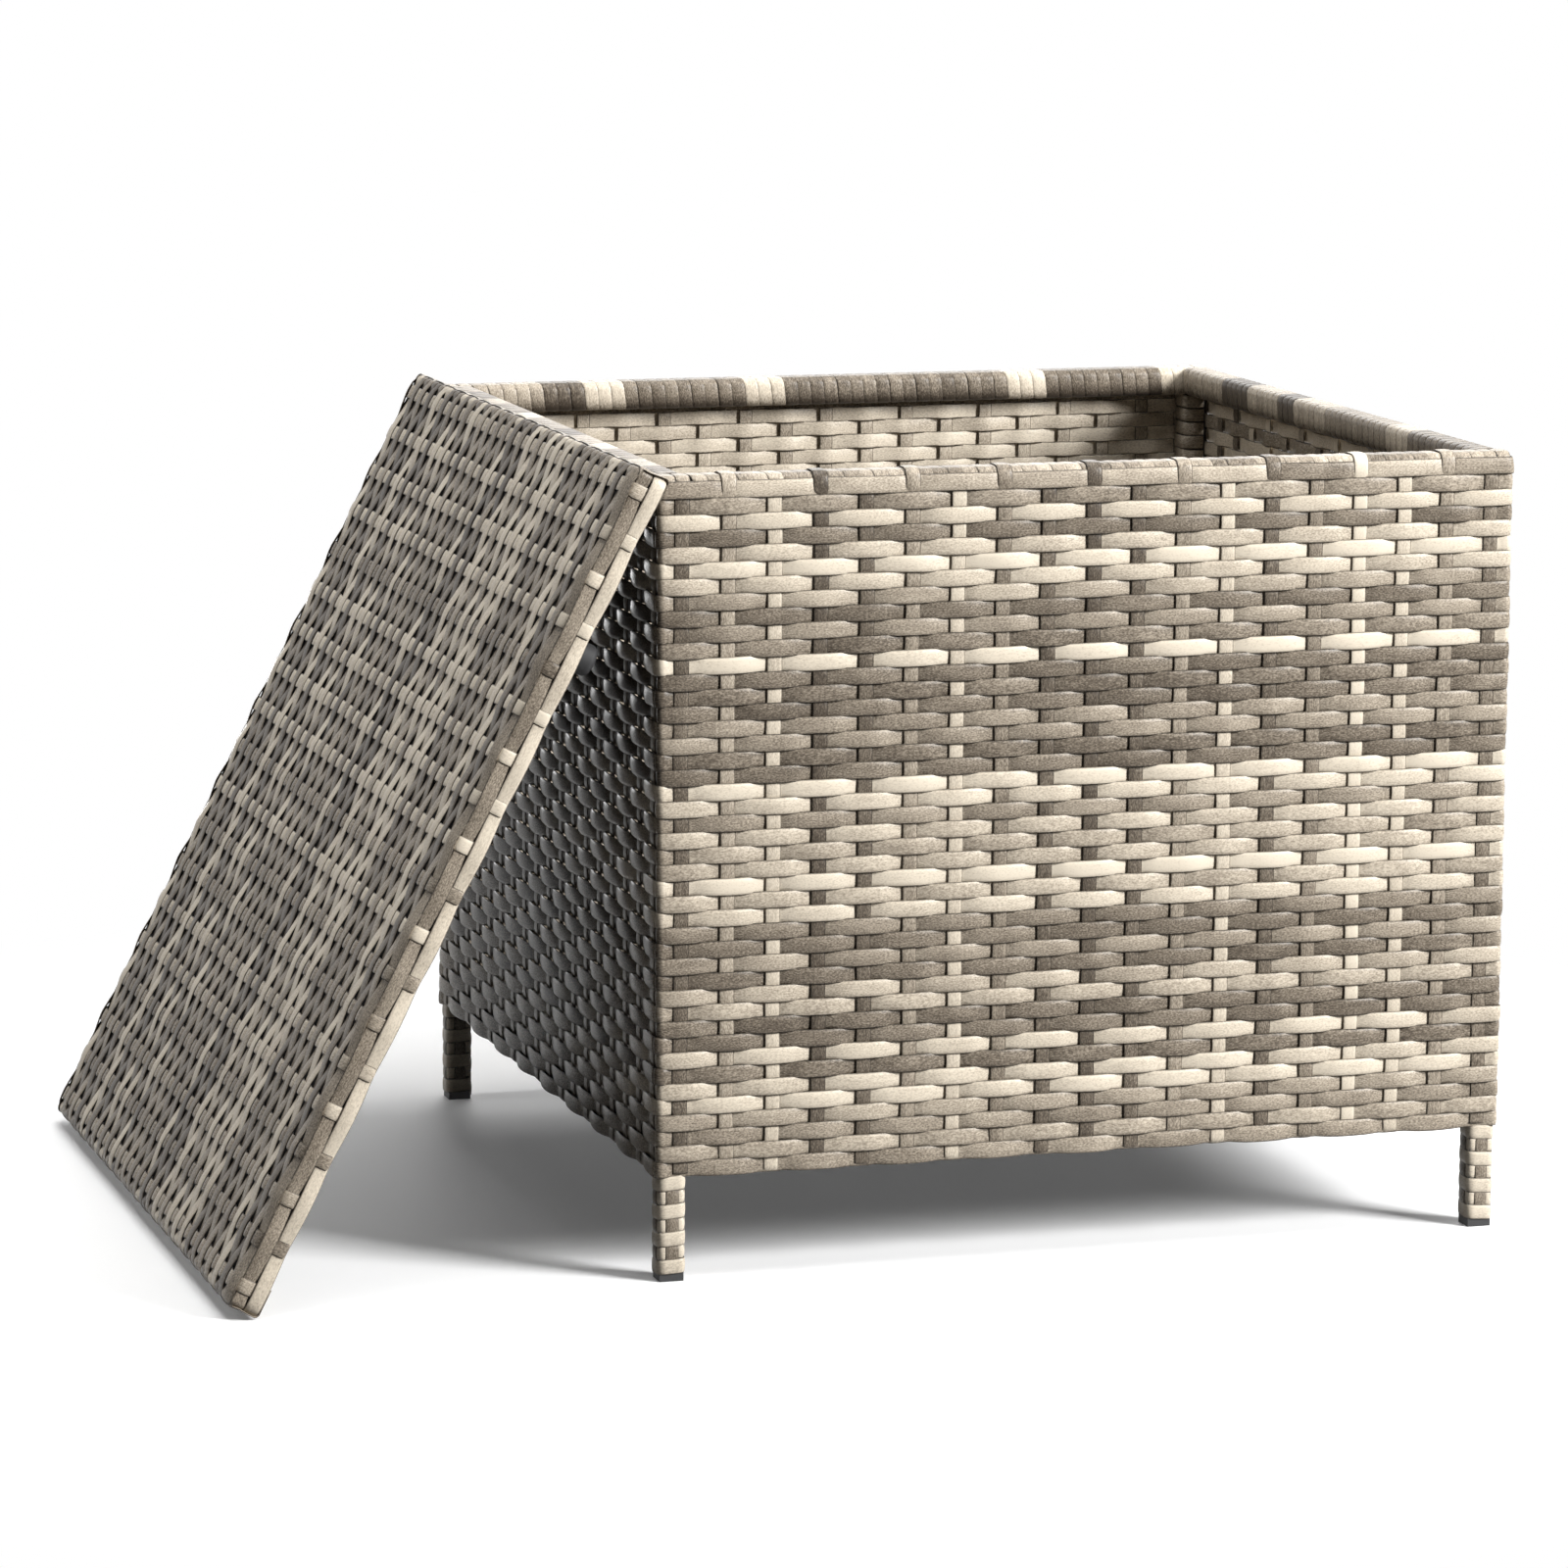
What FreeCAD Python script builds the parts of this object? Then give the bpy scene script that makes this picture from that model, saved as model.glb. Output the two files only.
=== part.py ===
"""Storage side table: a woven box on four short legs, with its lift-off lid leaning on one side.

Millimetres, +Z up, front at -Y. The origin is on the floor, at the middle of the ground that the
table and the leaning lid cover together.
"""

import FreeCAD, Part
import os
import re

os.makedirs("parts", exist_ok=True)

# Driving dimensions: alias, value in millimetres or degrees, what it measures.
SIZES = [
    ("table_width", 550, "outside of the woven walls, left to right"),
    ("table_depth", 550, "outside of the woven walls, front to back"),
    ("table_height", 490, "floor to the top of the rim"),
    ("skirt_height", 65, "floor to the lower edge of the woven walls"),
    ("weave_thickness", 3, "thickness of a woven wall"),
    ("wall_drop", 2, "top of the woven walls below the top of the rim"),
    ("corner_radius", 8, "outside radius of the box's upright corners"),
    ("tube_size", 15, "side of the square steel tube of the box frame"),
    ("tube_wall", 1.2, "wall of every square tube"),
    ("strip_thickness", 1.2, "one layer of flat strip wound round a tube"),
    ("wrap_radius", 3, "outside corner radius of a wound tube"),
    ("lashing_height", 48, "wound length of each post below the rim"),
    ("foot_base", 5, "thickness of the foot under the tube"),
    ("foot_show", 7, "bare foot and tube below the leg's winding"),
    ("plug_depth", 14, "length of the foot's plug inside the tube"),
    ("plug_gap", 0.1, "room between the plug and the tube's bore"),
    ("floor_thickness", 3, "thickness of the floor sheet"),
    ("floor_gap", 0.5, "room between the floor sheet and the walls and posts"),
    ("bearer_spacing", 184, "between the centre lines of the two floor bearers"),
    ("screw_spacing", 200, "between neighbouring screws along a bearer"),
    ("screw_shank", 4, "diameter of a screw's shank"),
    ("screw_gap", 0.2, "extra diameter of a screw hole"),
    ("screw_length", 10, "length of a screw under its head"),
    ("screw_head", 8, "diameter of a screw's head"),
    ("head_height", 2.4, "height of a screw's head"),
    ("lid_length", 553, "lid, along its lean"),
    ("lid_width", 556, "lid, front to back"),
    ("lid_corner", 6, "outside radius of the lid's corners"),
    ("lid_tube", 16, "side of the square steel tube of the lid frame"),
    ("lid_weave", 3.4, "thickness of the lid's woven top"),
    ("band_thickness", 2.4, "strips round the lid's edge and under its frame"),
    ("crossbar_inset", 118, "end of the lid to the centre line of the nearer crossbar"),
    ("lean_angle", 62.8, "lid against the floor"),
    ("lean_gap", 0.3, "room between the lid and the wall that it leans on"),
    ("lid_shift", 18, "lid further forward than the box"),
    ("peg_diameter", 20, "rubber peg under the lid"),
    ("peg_height", 20, "peg below the underside of the lid"),
    ("peg_inset", 45, "edge of the lid to the centre of a peg"),
    ("peg_round", 4, "rounding of the peg's free end"),
    ("peg_bore", 9, "bore for the screw's head in a peg"),
    ("peg_floor", 8, "rubber between the screw's head and the crossbar"),
]

doc = FreeCAD.newDocument("StorageSideTable")
sheet = doc.addObject("Spreadsheet::Sheet", "Sizes")
for row, (alias, value, note) in enumerate(SIZES, start=1):
    sheet.set(f"A{row}", alias)
    sheet.set(f"B{row}", str(value))
    sheet.set(f"C{row}", note)
    sheet.setAlias(f"B{row}", alias)
doc.recompute()

ALIASES = {alias for alias, value, note in SIZES}

# Places that several pieces share, as formulas of the sheet's cells.
HALF_X = "table_width / 2"
HALF_Y = "table_depth / 2"
POST_IN = "(weave_thickness + tube_size)"
RAIL_IN = "(weave_thickness + strip_thickness)"
WRAP_SIZE = "(tube_size + 2 * strip_thickness)"
RAIL_Z = "(table_height - strip_thickness - tube_size)"
WRAP_Z = f"(table_height - {WRAP_SIZE})"
BASE_RAIL_Z = "(skirt_height + strip_thickness)"
FLOOR_Z = f"({BASE_RAIL_Z} + tube_size)"
LID_RAIL_IN = "(band_thickness + lid_tube)"
LID_TOP_Z = "(band_thickness + lid_tube)"
LID_THICKNESS = f"({LID_TOP_Z} + lid_weave)"

# The lid's underside passes just clear of the top outer edge of the left wall, or, where the lid is too
# short to reach that edge, its upper end stands just clear of the wall's face.
LEAN_Z = "min(table_height - wall_drop; lid_length * sin(lean_angle))"
WALL_EDGE = f"(sin(lean_angle) * {HALF_X} + cos(lean_angle) * {LEAN_Z} + lean_gap)"
LID_FOOT_X = f"(-({WALL_EDGE}) / sin(lean_angle))"
BOX_X = f"((-({LID_FOOT_X}) + {LID_THICKNESS} * sin(lean_angle) - {HALF_X}) / 2)"
BOX_Y = "(lid_shift / 2)"

pieces = []


def sized(formula):
    """The formula with each alias pointing at its cell."""
    return re.sub(r"[a-z_]+", lambda word: f"Sizes.{word[0]}" if word[0] in ALIASES else word[0], formula)


def bind(obj, name, formula):
    obj.setExpression(name, sized(formula))


def size(alias):
    """A cell's value, for the few sizes that a fillet takes as plain numbers."""
    return float(sheet.get(alias))


def box(name, spans):
    """A block from its three spans, each a start and a length."""
    block = doc.addObject("Part::Box", name)
    for axis, side, (start, length) in zip("xyz", ("Length", "Width", "Height"), spans):
        bind(block, f"Placement.Base.{axis}", start)
        bind(block, side, length)
    return block


def cylinder(name, diameter, centre, start, length):
    """An upright cylinder."""
    rod = doc.addObject("Part::Cylinder", name)
    bind(rod, "Radius", f"{diameter} / 2")
    bind(rod, "Height", length)
    for axis, formula in zip("xyz", (*centre, start)):
        bind(rod, f"Placement.Base.{axis}", formula)
    return rod


def cut(name, base, tool):
    result = doc.addObject("Part::Cut", name)
    result.Base = base
    result.Tool = tool
    return result


def common(name, base, tool):
    result = doc.addObject("Part::Common", name)
    result.Base = base
    result.Tool = tool
    return result


def fuse(name, shapes):
    result = doc.addObject("Part::MultiFuse", name)
    result.Shapes = shapes
    return result


def rounded(name, base, axis, alias):
    """A block with its four edges along one axis rounded."""
    doc.recompute()
    radius = size(alias)
    along = FreeCAD.Vector(*(float(letter == axis) for letter in "xyz"))
    result = doc.addObject("Part::Fillet", name)
    result.Base = base
    result.Edges = [
        (number, radius, radius)
        for number, edge in enumerate(base.Shape.Edges, start=1)
        if edge.tangentAt(edge.FirstParameter).cross(along).Length < 1e-6
    ]
    return result


def swapped(axis, along, across, upright):
    """Three spans in X, Y, Z order for a piece that runs along X or along Y."""
    return (along, across, upright) if axis == "x" else (across, along, upright)


def beside(sign, half, inset, length):
    """Where a span starts that ends a set distance inside one of two opposite faces."""
    return f"-{half} + {inset}" if sign < 0 else f"{half} - ({inset}) - ({length})"


def between(half, inset):
    """A span that stops short of both opposite faces."""
    return f"-{half} + {inset}", f"2 * ({half} - ({inset}))"


def tube(name, axis, along, across, upright, side):
    """A hollow square tube."""
    bore_side = f"{side} - 2 * tube_wall"
    bore_across = f"{across} + tube_wall", bore_side
    bore_upright = f"{upright} + tube_wall", bore_side
    outside = box(f"{name}_outside", swapped(axis, along, (across, side), (upright, side)))
    bore = box(f"{name}_bore", swapped(axis, along, bore_across, bore_upright))
    return cut(name, outside, bore)


def place_in_box(obj):
    """Hand over a piece of the box, drawn about the box's own middle. Its label names its file."""
    bind(obj, "Placement.Base.x", BOX_X)
    bind(obj, "Placement.Base.y", BOX_Y)
    pieces.append(obj)


def place_in_lid(obj):
    """Hand over a piece of the lid, drawn flat with X up its lean and Z out of its top."""
    lean = FreeCAD.Rotation(FreeCAD.Vector(0, -1, 0), size("lean_angle"))
    obj.Placement = FreeCAD.Placement(FreeCAD.Vector(), lean)
    bind(obj, "Placement.Rotation.Angle", "lean_angle")
    bind(obj, "Placement.Base.x", f"{BOX_X} + {LID_FOOT_X}")
    bind(obj, "Placement.Base.y", f"{BOX_Y} - lid_shift")
    pieces.append(obj)


CORNERS = [
    ("front_left", -1, -1),
    ("front_right", 1, -1),
    ("back_left", -1, 1),
    ("back_right", 1, 1),
]

# Each side's name, the axis that it runs along, its sign, and its half sizes along and across.
SIDES = [
    ("front", "x", -1, HALF_X, HALF_Y),
    ("back", "x", 1, HALF_X, HALF_Y),
    ("left", "y", -1, HALF_Y, HALF_X),
    ("right", "y", 1, HALF_Y, HALF_X),
]


def post_spans(sx, sy, inset, length):
    return (
        (beside(sx, HALF_X, inset, length), length),
        (beside(sy, HALF_Y, inset, length), length),
    )


def make_post(corner, sx, sy):
    """A square tube from the foot to the top of the rails."""
    rise = "foot_base", "table_height - strip_thickness - foot_base"
    bore = "weave_thickness + tube_wall", "tube_size - 2 * tube_wall"
    outside = box(f"post_{corner}_outside", (*post_spans(sx, sy, "weave_thickness", "tube_size"), rise))
    inside = box(f"post_{corner}_bore", (*post_spans(sx, sy, *bore), rise))
    place_in_box(cut(f"post_{corner}", outside, inside))


def make_foot(corner, sx, sy):
    """A square plastic foot with a plug that fills the end of the post."""
    plug_in = "weave_thickness + tube_wall + plug_gap"
    plug_side = "tube_size - 2 * (tube_wall + plug_gap)"
    base_spans = post_spans(sx, sy, "weave_thickness", "tube_size")
    plug_spans = post_spans(sx, sy, plug_in, plug_side)
    base = box(f"foot_{corner}_base", (*base_spans, ("0", "foot_base")))
    plug = box(f"foot_{corner}_plug", (*plug_spans, ("foot_base", "plug_depth")))
    place_in_box(fuse(f"foot_plug_{corner}", [base, plug]))


def make_leg_wrap(corner, sx, sy):
    """The strip wound round a leg, from just above the foot to the woven wall."""
    rise = "foot_show", "skirt_height - foot_show"
    spans = post_spans(sx, sy, "weave_thickness - strip_thickness", WRAP_SIZE)
    core = box(f"leg_wrap_{corner}_core", (*post_spans(sx, sy, "weave_thickness", "tube_size"), rise))
    block = box(f"leg_wrap_{corner}_block", (*spans, rise))
    sleeve = rounded(f"leg_wrap_{corner}_round", block, "z", "wrap_radius")
    place_in_box(cut(f"leg_wrap_{corner}", sleeve, core))


def make_lashing(corner, sx, sy):
    """The strip bound round the two inner faces of a post under the rim."""
    rise = f"{WRAP_Z} - lashing_height", "lashing_height"
    block = box(
        f"lashing_{corner}_block",
        (*post_spans(sx, sy, "weave_thickness", "(tube_size + strip_thickness)"), rise),
    )
    core = box(f"lashing_{corner}_core", (*post_spans(sx, sy, "weave_thickness", "tube_size"), rise))
    place_in_box(cut(f"corner_lashing_{corner}", block, core))


def make_rails(side, axis, sign, half_along, half_across):
    """The two tubes of one side, welded between its posts.

    A top rail stands further in than the posts, so the left and right ones are notched round the others.
    """
    run = between(half_along, POST_IN)
    across = beside(sign, half_across, RAIL_IN, "tube_size")
    if axis == "x":
        place_in_box(tube(f"top_rail_{side}", axis, run, across, RAIL_Z, "tube_size"))
    else:
        blank = tube(f"top_rail_{side}_blank", axis, run, across, RAIL_Z, "tube_size")
        inner_edge = beside(sign, half_across, POST_IN, "strip_thickness"), "strip_thickness"
        notches = []
        for end in (-1, 1):
            rail_end = beside(end, half_along, POST_IN, "strip_thickness"), "strip_thickness"
            spans = swapped(axis, rail_end, inner_edge, (RAIL_Z, "tube_size"))
            notches.append(box(f"top_rail_{side}_notch", spans))
        place_in_box(cut(f"top_rail_{side}", blank, fuse(f"top_rail_{side}_notches", notches)))
    across = beside(sign, half_across, "weave_thickness", "tube_size")
    place_in_box(tube(f"bottom_rail_{side}", axis, run, across, BASE_RAIL_Z, "tube_size"))


def make_rim_wrap(side, axis, sign, half_along, half_across):
    """The strip wound round a top rail. The front and back ones also cover the posts' tops."""
    sleeve_in = f"(weave_thickness + {WRAP_SIZE})"
    across = beside(sign, half_across, "weave_thickness", WRAP_SIZE)
    core_across = beside(sign, half_across, RAIL_IN, "tube_size")
    covers_posts = axis == "x"
    run = between(half_along, "weave_thickness" if covers_posts else sleeve_in)
    block = box(f"rim_wrap_{side}_block", swapped(axis, run, (across, WRAP_SIZE), (WRAP_Z, WRAP_SIZE)))
    core_spans = swapped(axis, run, (core_across, "tube_size"), (RAIL_Z, "tube_size"))
    hollows = [box(f"rim_wrap_{side}_core", core_spans)]
    if covers_posts:
        for end in (-1, 1):
            end_run = beside(end, half_along, "weave_thickness", WRAP_SIZE), WRAP_SIZE
            depth = WRAP_Z, f"{WRAP_SIZE} - strip_thickness"
            hollows.append(box(f"rim_wrap_{side}_end", swapped(axis, end_run, (across, WRAP_SIZE), depth)))
    hollow = fuse(f"rim_wrap_{side}_hollow", hollows) if covers_posts else hollows[0]
    sleeve = rounded(f"rim_wrap_{side}_round", block, axis, "wrap_radius")
    place_in_box(cut(f"rim_wrap_{side}", sleeve, hollow))


def make_walls():
    """Four woven walls, cut from one ring with round upright corners."""
    rise = "skirt_height", "table_height - wall_drop - skirt_height"
    full_x, full_y = between(HALF_X, "0"), between(HALF_Y, "0")
    inner_x, inner_y = between(HALF_X, "weave_thickness"), between(HALF_Y, "weave_thickness")
    outside = rounded("walls_round", box("walls_block", (full_x, full_y, rise)), "z", "corner_radius")
    ring = cut("walls_ring", outside, box("walls_room", (inner_x, inner_y, rise)))
    for side, axis, sign, half_along, half_across in SIDES:
        across = beside(sign, half_across, "0", "weave_thickness"), "weave_thickness"
        run = full_x if axis == "x" else inner_y
        zone = box(f"wall_{side}_zone", swapped(axis, run, across, rise))
        place_in_box(common(f"wall_weave_{side}", ring, zone))


def screw_centres(sx):
    """Three screws along the left or the right floor bearer."""
    return [(f"{sx} * bearer_spacing / 2", f"{step} * screw_spacing") for step in (-1, 0, 1)]


def make_floor():
    """The floor sheet, the two bearers under it and the screws between them."""
    hole = "(screw_shank + screw_gap)"
    sheet_in = "(weave_thickness + floor_gap)"
    rise = FLOOR_Z, "floor_thickness"
    blank = box("floor_blank", (between(HALF_X, sheet_in), between(HALF_Y, sheet_in), rise))
    notch_side = "(tube_size + floor_gap)"
    gaps = [
        box(f"floor_notch_{corner}", (*post_spans(sx, sy, "weave_thickness", notch_side), rise))
        for corner, sx, sy in CORNERS
    ]
    gaps += [cylinder("floor_hole", hole, centre, *rise) for sx in (-1, 1) for centre in screw_centres(sx)]
    place_in_box(cut("floor_panel", blank, fuse("floor_gaps", gaps)))

    for name, sign in (("left", -1), ("right", 1)):
        across = f"{sign} * bearer_spacing / 2 - tube_size / 2"
        blank = tube(f"bearer_{name}", "y", between(HALF_Y, POST_IN), across, BASE_RAIL_Z, "tube_size")
        hole_rise = f"{FLOOR_Z} - tube_wall", "tube_wall"
        holes = [cylinder(f"bearer_{name}_hole", hole, centre, *hole_rise) for centre in screw_centres(sign)]
        place_in_box(cut(f"floor_bearer_{name}", blank, fuse(f"bearer_{name}_holes", holes)))

    head_z = f"{FLOOR_Z} + floor_thickness"
    tip_z = f"{head_z} - screw_length"
    screws = []
    for centre in screw_centres(-1) + screw_centres(1):
        head = cylinder("floor_screw_head", "screw_head", centre, head_z, "head_height")
        shank = cylinder("floor_screw_shank", "screw_shank", centre, tip_z, "screw_length")
        screws.append(fuse("floor_screw", [head, shank]))
    place_in_box(group("floor_screws", screws))


def group(name, shapes):
    """Like pieces handed over together, each still a solid of its own."""
    result = doc.addObject("Part::Compound", name)
    result.Links = shapes
    return result


LID_HALF = "lid_width / 2"
LID_RISE = "band_thickness"
LID_SIDES = [("front", -1), ("back", 1)]
LID_ENDS = [("lower", 1), ("upper", -1)]


def from_end(end, inset, length):
    """Where a span starts that is a set distance from the lid's lower or upper end."""
    return inset if end > 0 else f"lid_length - {inset} - {length}"


def make_lid_frame():
    """Two long tubes, two end tubes and two crossbars."""
    run = "band_thickness", "lid_length - 2 * band_thickness"
    for side, sign in LID_SIDES:
        across = beside(sign, LID_HALF, "band_thickness", "lid_tube")
        place_in_lid(tube(f"lid_rail_{side}", "x", run, across, LID_RISE, "lid_tube"))
    reach = between(LID_HALF, LID_RAIL_IN)
    for end, sign in LID_ENDS:
        at = from_end(sign, "band_thickness", "lid_tube")
        place_in_lid(tube(f"lid_rail_{end}", "y", reach, at, LID_RISE, "lid_tube"))


def peg_centres():
    """The pegs stand on the upper crossbar, one near each of its ends."""
    along = "lid_length - crossbar_inset"
    return [(side, (along, f"{sign} * ({LID_HALF} - peg_inset)")) for side, sign in LID_SIDES]


def make_crossbars():
    """The tubes under the lid's weave. The upper one is drilled for the pegs' screws."""
    reach = between(LID_HALF, LID_RAIL_IN)
    at = "crossbar_inset - lid_tube / 2"
    place_in_lid(tube("lid_crossbar_lower", "y", reach, at, LID_RISE, "lid_tube"))
    at = "lid_length - crossbar_inset - lid_tube / 2"
    blank = tube("crossbar_upper", "y", reach, at, LID_RISE, "lid_tube")
    holes = [
        cylinder(f"crossbar_hole_{side}", "(screw_shank + screw_gap)", centre, LID_RISE, "tube_wall")
        for side, centre in peg_centres()
    ]
    place_in_lid(cut("lid_crossbar_upper", blank, fuse("crossbar_holes", holes)))


def make_lid_skin():
    """The woven top and the bands that cover the edges and the underside of the frame."""
    full, wide = ("0", "lid_length"), between(LID_HALF, "0")
    block = box("lid_block", (full, wide, ("0", LID_THICKNESS)))
    blank = rounded("lid_blank", block, "z", "lid_corner")
    top = box("lid_top_zone", (full, wide, (LID_TOP_Z, "lid_weave")))
    place_in_lid(common("lid_top_weave", blank, top))

    edge_rise, hem_rise = ("0", LID_TOP_Z), ("0", "band_thickness")
    for side, sign in LID_SIDES:
        across = beside(sign, LID_HALF, "0", "band_thickness"), "band_thickness"
        under = beside(sign, LID_HALF, "band_thickness", "lid_tube"), "lid_tube"
        edge = box(f"band_{side}_edge", (full, across, edge_rise))
        run = "band_thickness", "lid_length - 2 * band_thickness"
        hem = box(f"band_{side}_hem", (run, under, hem_rise))
        place_in_lid(common(f"lid_edge_band_{side}", blank, fuse(f"band_{side}_bent", [edge, hem])))
    for end, sign in LID_ENDS:
        at = from_end(sign, "0", "band_thickness"), "band_thickness"
        under = from_end(sign, "band_thickness", "lid_tube"), "lid_tube"
        edge = box(f"band_{end}_edge", (at, between(LID_HALF, "band_thickness"), edge_rise))
        hem = box(f"band_{end}_hem", (under, between(LID_HALF, LID_RAIL_IN), hem_rise))
        place_in_lid(common(f"lid_edge_band_{end}", blank, fuse(f"band_{end}_bent", [edge, hem])))


def make_pegs():
    """Two rubber pegs that drop inside the rim when the lid is on, each held by one screw."""
    free_end = "-peg_height"
    length = f"({LID_RISE} + peg_height)"
    hole = "(screw_shank + screw_gap)"
    screws = []
    for side, centre in peg_centres():
        body = cylinder(f"peg_{side}_body", "peg_diameter", centre, free_end, length)
        doc.recompute()
        tip = doc.addObject("Part::Fillet", f"peg_{side}_round")
        tip.Base = body
        radius = size("peg_round")
        lowest = min(edge.BoundBox.ZMax for edge in body.Shape.Edges)
        tip.Edges = [
            (number, radius, radius)
            for number, edge in enumerate(body.Shape.Edges, start=1)
            if edge.BoundBox.ZMax - lowest < 1e-6
        ]
        head_z = f"({LID_RISE} - peg_floor)"
        bore = cylinder(f"peg_{side}_bore", "peg_bore", centre, free_end, f"{head_z} + peg_height")
        through = cylinder(f"peg_{side}_through", hole, centre, head_z, "peg_floor")
        place_in_lid(cut(f"lid_peg_{side}", tip, fuse(f"peg_{side}_hollow", [bore, through])))
        head = cylinder("peg_screw_head", "screw_head", centre, f"{head_z} - head_height", "head_height")
        shank = cylinder("peg_screw_shank", "screw_shank", centre, head_z, "screw_length")
        screws.append(fuse("peg_screw", [head, shank]))
    place_in_lid(group("lid_peg_screws", screws))


for corner in CORNERS:
    make_post(*corner)
    make_foot(*corner)
    make_leg_wrap(*corner)
    make_lashing(*corner)
for side in SIDES:
    make_rails(*side)
    make_rim_wrap(*side)
make_walls()
make_floor()
make_lid_frame()
make_crossbars()
make_lid_skin()
make_pegs()
doc.recompute()

for obj in doc.Objects:
    if "Invalid" in obj.State or "Error" in obj.State:
        raise RuntimeError(f"{obj.Label} failed to build")
for obj in pieces:
    if obj.Shape.isNull() or not obj.Shape.isValid() or not obj.Shape.Solids:
        raise RuntimeError(f"{obj.Label} is not a valid solid")
for obj in pieces:
    obj.Shape.exportStep(f"parts/{obj.Label}.step")
print(len(pieces), "pieces written")
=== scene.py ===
"""Looks of the storage side table: each woven and wound strip as geometry of its own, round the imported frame.

Lengths are in millimetres until a mesh is made. The box is drawn about its own middle on the floor. The lid
is drawn flat, with x up its lean, y to the back and z out of its top.
"""

import math

import bpy
import numpy as np
from mathutils import Matrix, Vector


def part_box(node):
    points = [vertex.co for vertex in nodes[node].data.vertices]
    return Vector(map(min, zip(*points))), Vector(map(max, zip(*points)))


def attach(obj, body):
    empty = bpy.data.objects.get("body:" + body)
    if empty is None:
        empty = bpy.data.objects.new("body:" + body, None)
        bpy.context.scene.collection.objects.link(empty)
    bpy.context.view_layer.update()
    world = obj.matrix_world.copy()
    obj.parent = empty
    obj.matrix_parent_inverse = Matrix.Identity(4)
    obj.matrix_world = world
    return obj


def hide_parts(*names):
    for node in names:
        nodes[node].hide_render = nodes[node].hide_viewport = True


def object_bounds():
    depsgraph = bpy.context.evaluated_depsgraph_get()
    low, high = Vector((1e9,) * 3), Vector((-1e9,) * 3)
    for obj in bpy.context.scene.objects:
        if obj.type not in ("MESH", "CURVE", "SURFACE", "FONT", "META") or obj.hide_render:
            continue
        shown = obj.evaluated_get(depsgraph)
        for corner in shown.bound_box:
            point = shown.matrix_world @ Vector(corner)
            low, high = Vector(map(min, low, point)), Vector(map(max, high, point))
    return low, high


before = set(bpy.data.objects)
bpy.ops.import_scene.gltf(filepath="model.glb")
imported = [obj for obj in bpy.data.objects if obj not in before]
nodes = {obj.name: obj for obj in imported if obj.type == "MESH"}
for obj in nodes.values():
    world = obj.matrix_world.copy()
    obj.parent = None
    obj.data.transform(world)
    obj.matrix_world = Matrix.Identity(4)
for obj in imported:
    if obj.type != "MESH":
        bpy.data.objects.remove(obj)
cad_low, cad_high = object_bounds()
rng = np.random.default_rng(41)
scene = bpy.context.scene

MM = 0.001
UP = np.array([0.0, 0.0, 1.0])

# A strip's section, across its width and through its thickness, and the four faces that close an end.
SECTION = np.array([
    (-1, -0.02), (-0.9, 0.26), (-0.52, 0.43), (0, 0.5), (0.52, 0.43), (0.9, 0.26),
    (1, -0.02), (0.75, -0.24), (0, -0.3), (-0.75, -0.24),
])
END_FACES = np.array([(0, 1, 2, 9), (9, 2, 3, 8), (8, 3, 4, 7), (7, 4, 5, 6)])

# The box.
HALF = 275.0
WALL_TOP, WALL_FOOT, RIM_TOP = 486.8, 65.0, 490.0
ROWS, FRONT_STAKES, SIDE_STAKES = 44, 19, 18
ROW_PITCH = (WALL_TOP - WALL_FOOT) / ROWS
WALLS = ("front", "right", "back", "left")
# The middle of the weave lies WALL_MID_IN inside the wall's face.
WALL_MID_IN, CORNER_RADIUS = 2.6, 4.1
RING_STEP, RING_ARC_STEPS = 2.9, 6

# Rows: their thickness, how far a float stands out and in, and their half width, with what it gains over a
# stake and under one. Near the posts and the lower rail a row stays out at POST_FACE.
STRIP_THICK = 1.8
FLOAT_OUT, FLOAT_IN = 2.7, 1.0
ROW_HALF, ROW_OVER, ROW_UNDER = 4.98, 0.42, 0.3
POST_FACE, RAIL_TOP = 0.1, 86.0
# How far a row stands out at a corner: mean, spread and most, and the width of that bulge.
CORNER_OUT, CORNER_SPREAD, CORNER_MOST, CORNER_WIDTH = 0.25, 0.45, 1.3, 7
# The top row lies flatter than the others, close under the rim.
TOP_ROW_OUT, TOP_ROW_DIP, TOP_ROW_HALF, TOP_ROW_UP = 1.4, 0.7, 5.4, 0.5
TOP_ROW_FLATTEN, TOP_ROW_TILT = 0.25, 0.1

# Stakes.
FIRST_STAKE, STAKE_GAP = 15.0, 29.0
STAKE_LEVEL, STAKE_SWING = 0.8, 0.55
STAKE_HALF, STAKE_THICK = 4.75, 0.95
STAKE_STEP = 1.6

# The lid.
LID_LENGTH, LID_HALF_Y, LID_THICK = 553.0, 278.0, 21.8
LEAN = math.radians(62.8)
LID_WEAVERS, LID_STAKES = 55, 19
LID_MID_Z, LID_SIDE_MID, LID_END_MID = 20.75, 277.5, 1.35

# Tones run from 0, dark, to 1, cream, and may pass both ends a little.
TONE_LIMITS = (-0.4, 1.1)
# The front's rows from the top, and its stakes from the left.
ROW_TONES = np.array([
    4, 3, 7, 1, 6, 9, 6, 4, 1, 3, 2, 9, 1, 1, 1, 3, 3, 1, 1, 9, 7, 3,
    6, 4, 5, 9, 5, 7, 2, 1, 3, 1, 5, 5, 1, 1, 7, 1, 7, 8, 4, 3, 4, 3,
]) / 9
STAKE_TONES = np.array([0, 4, 7, -1, 0, 3, 7, 2, 0, -1, 0, 3, 7, 0, 2, 9, 7, 3, 1]) / 9


def smooth(start, end, value):
    share = np.clip((value - start) / (end - start), 0, 1)
    return share * share * (3 - 2 * share)


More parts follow.
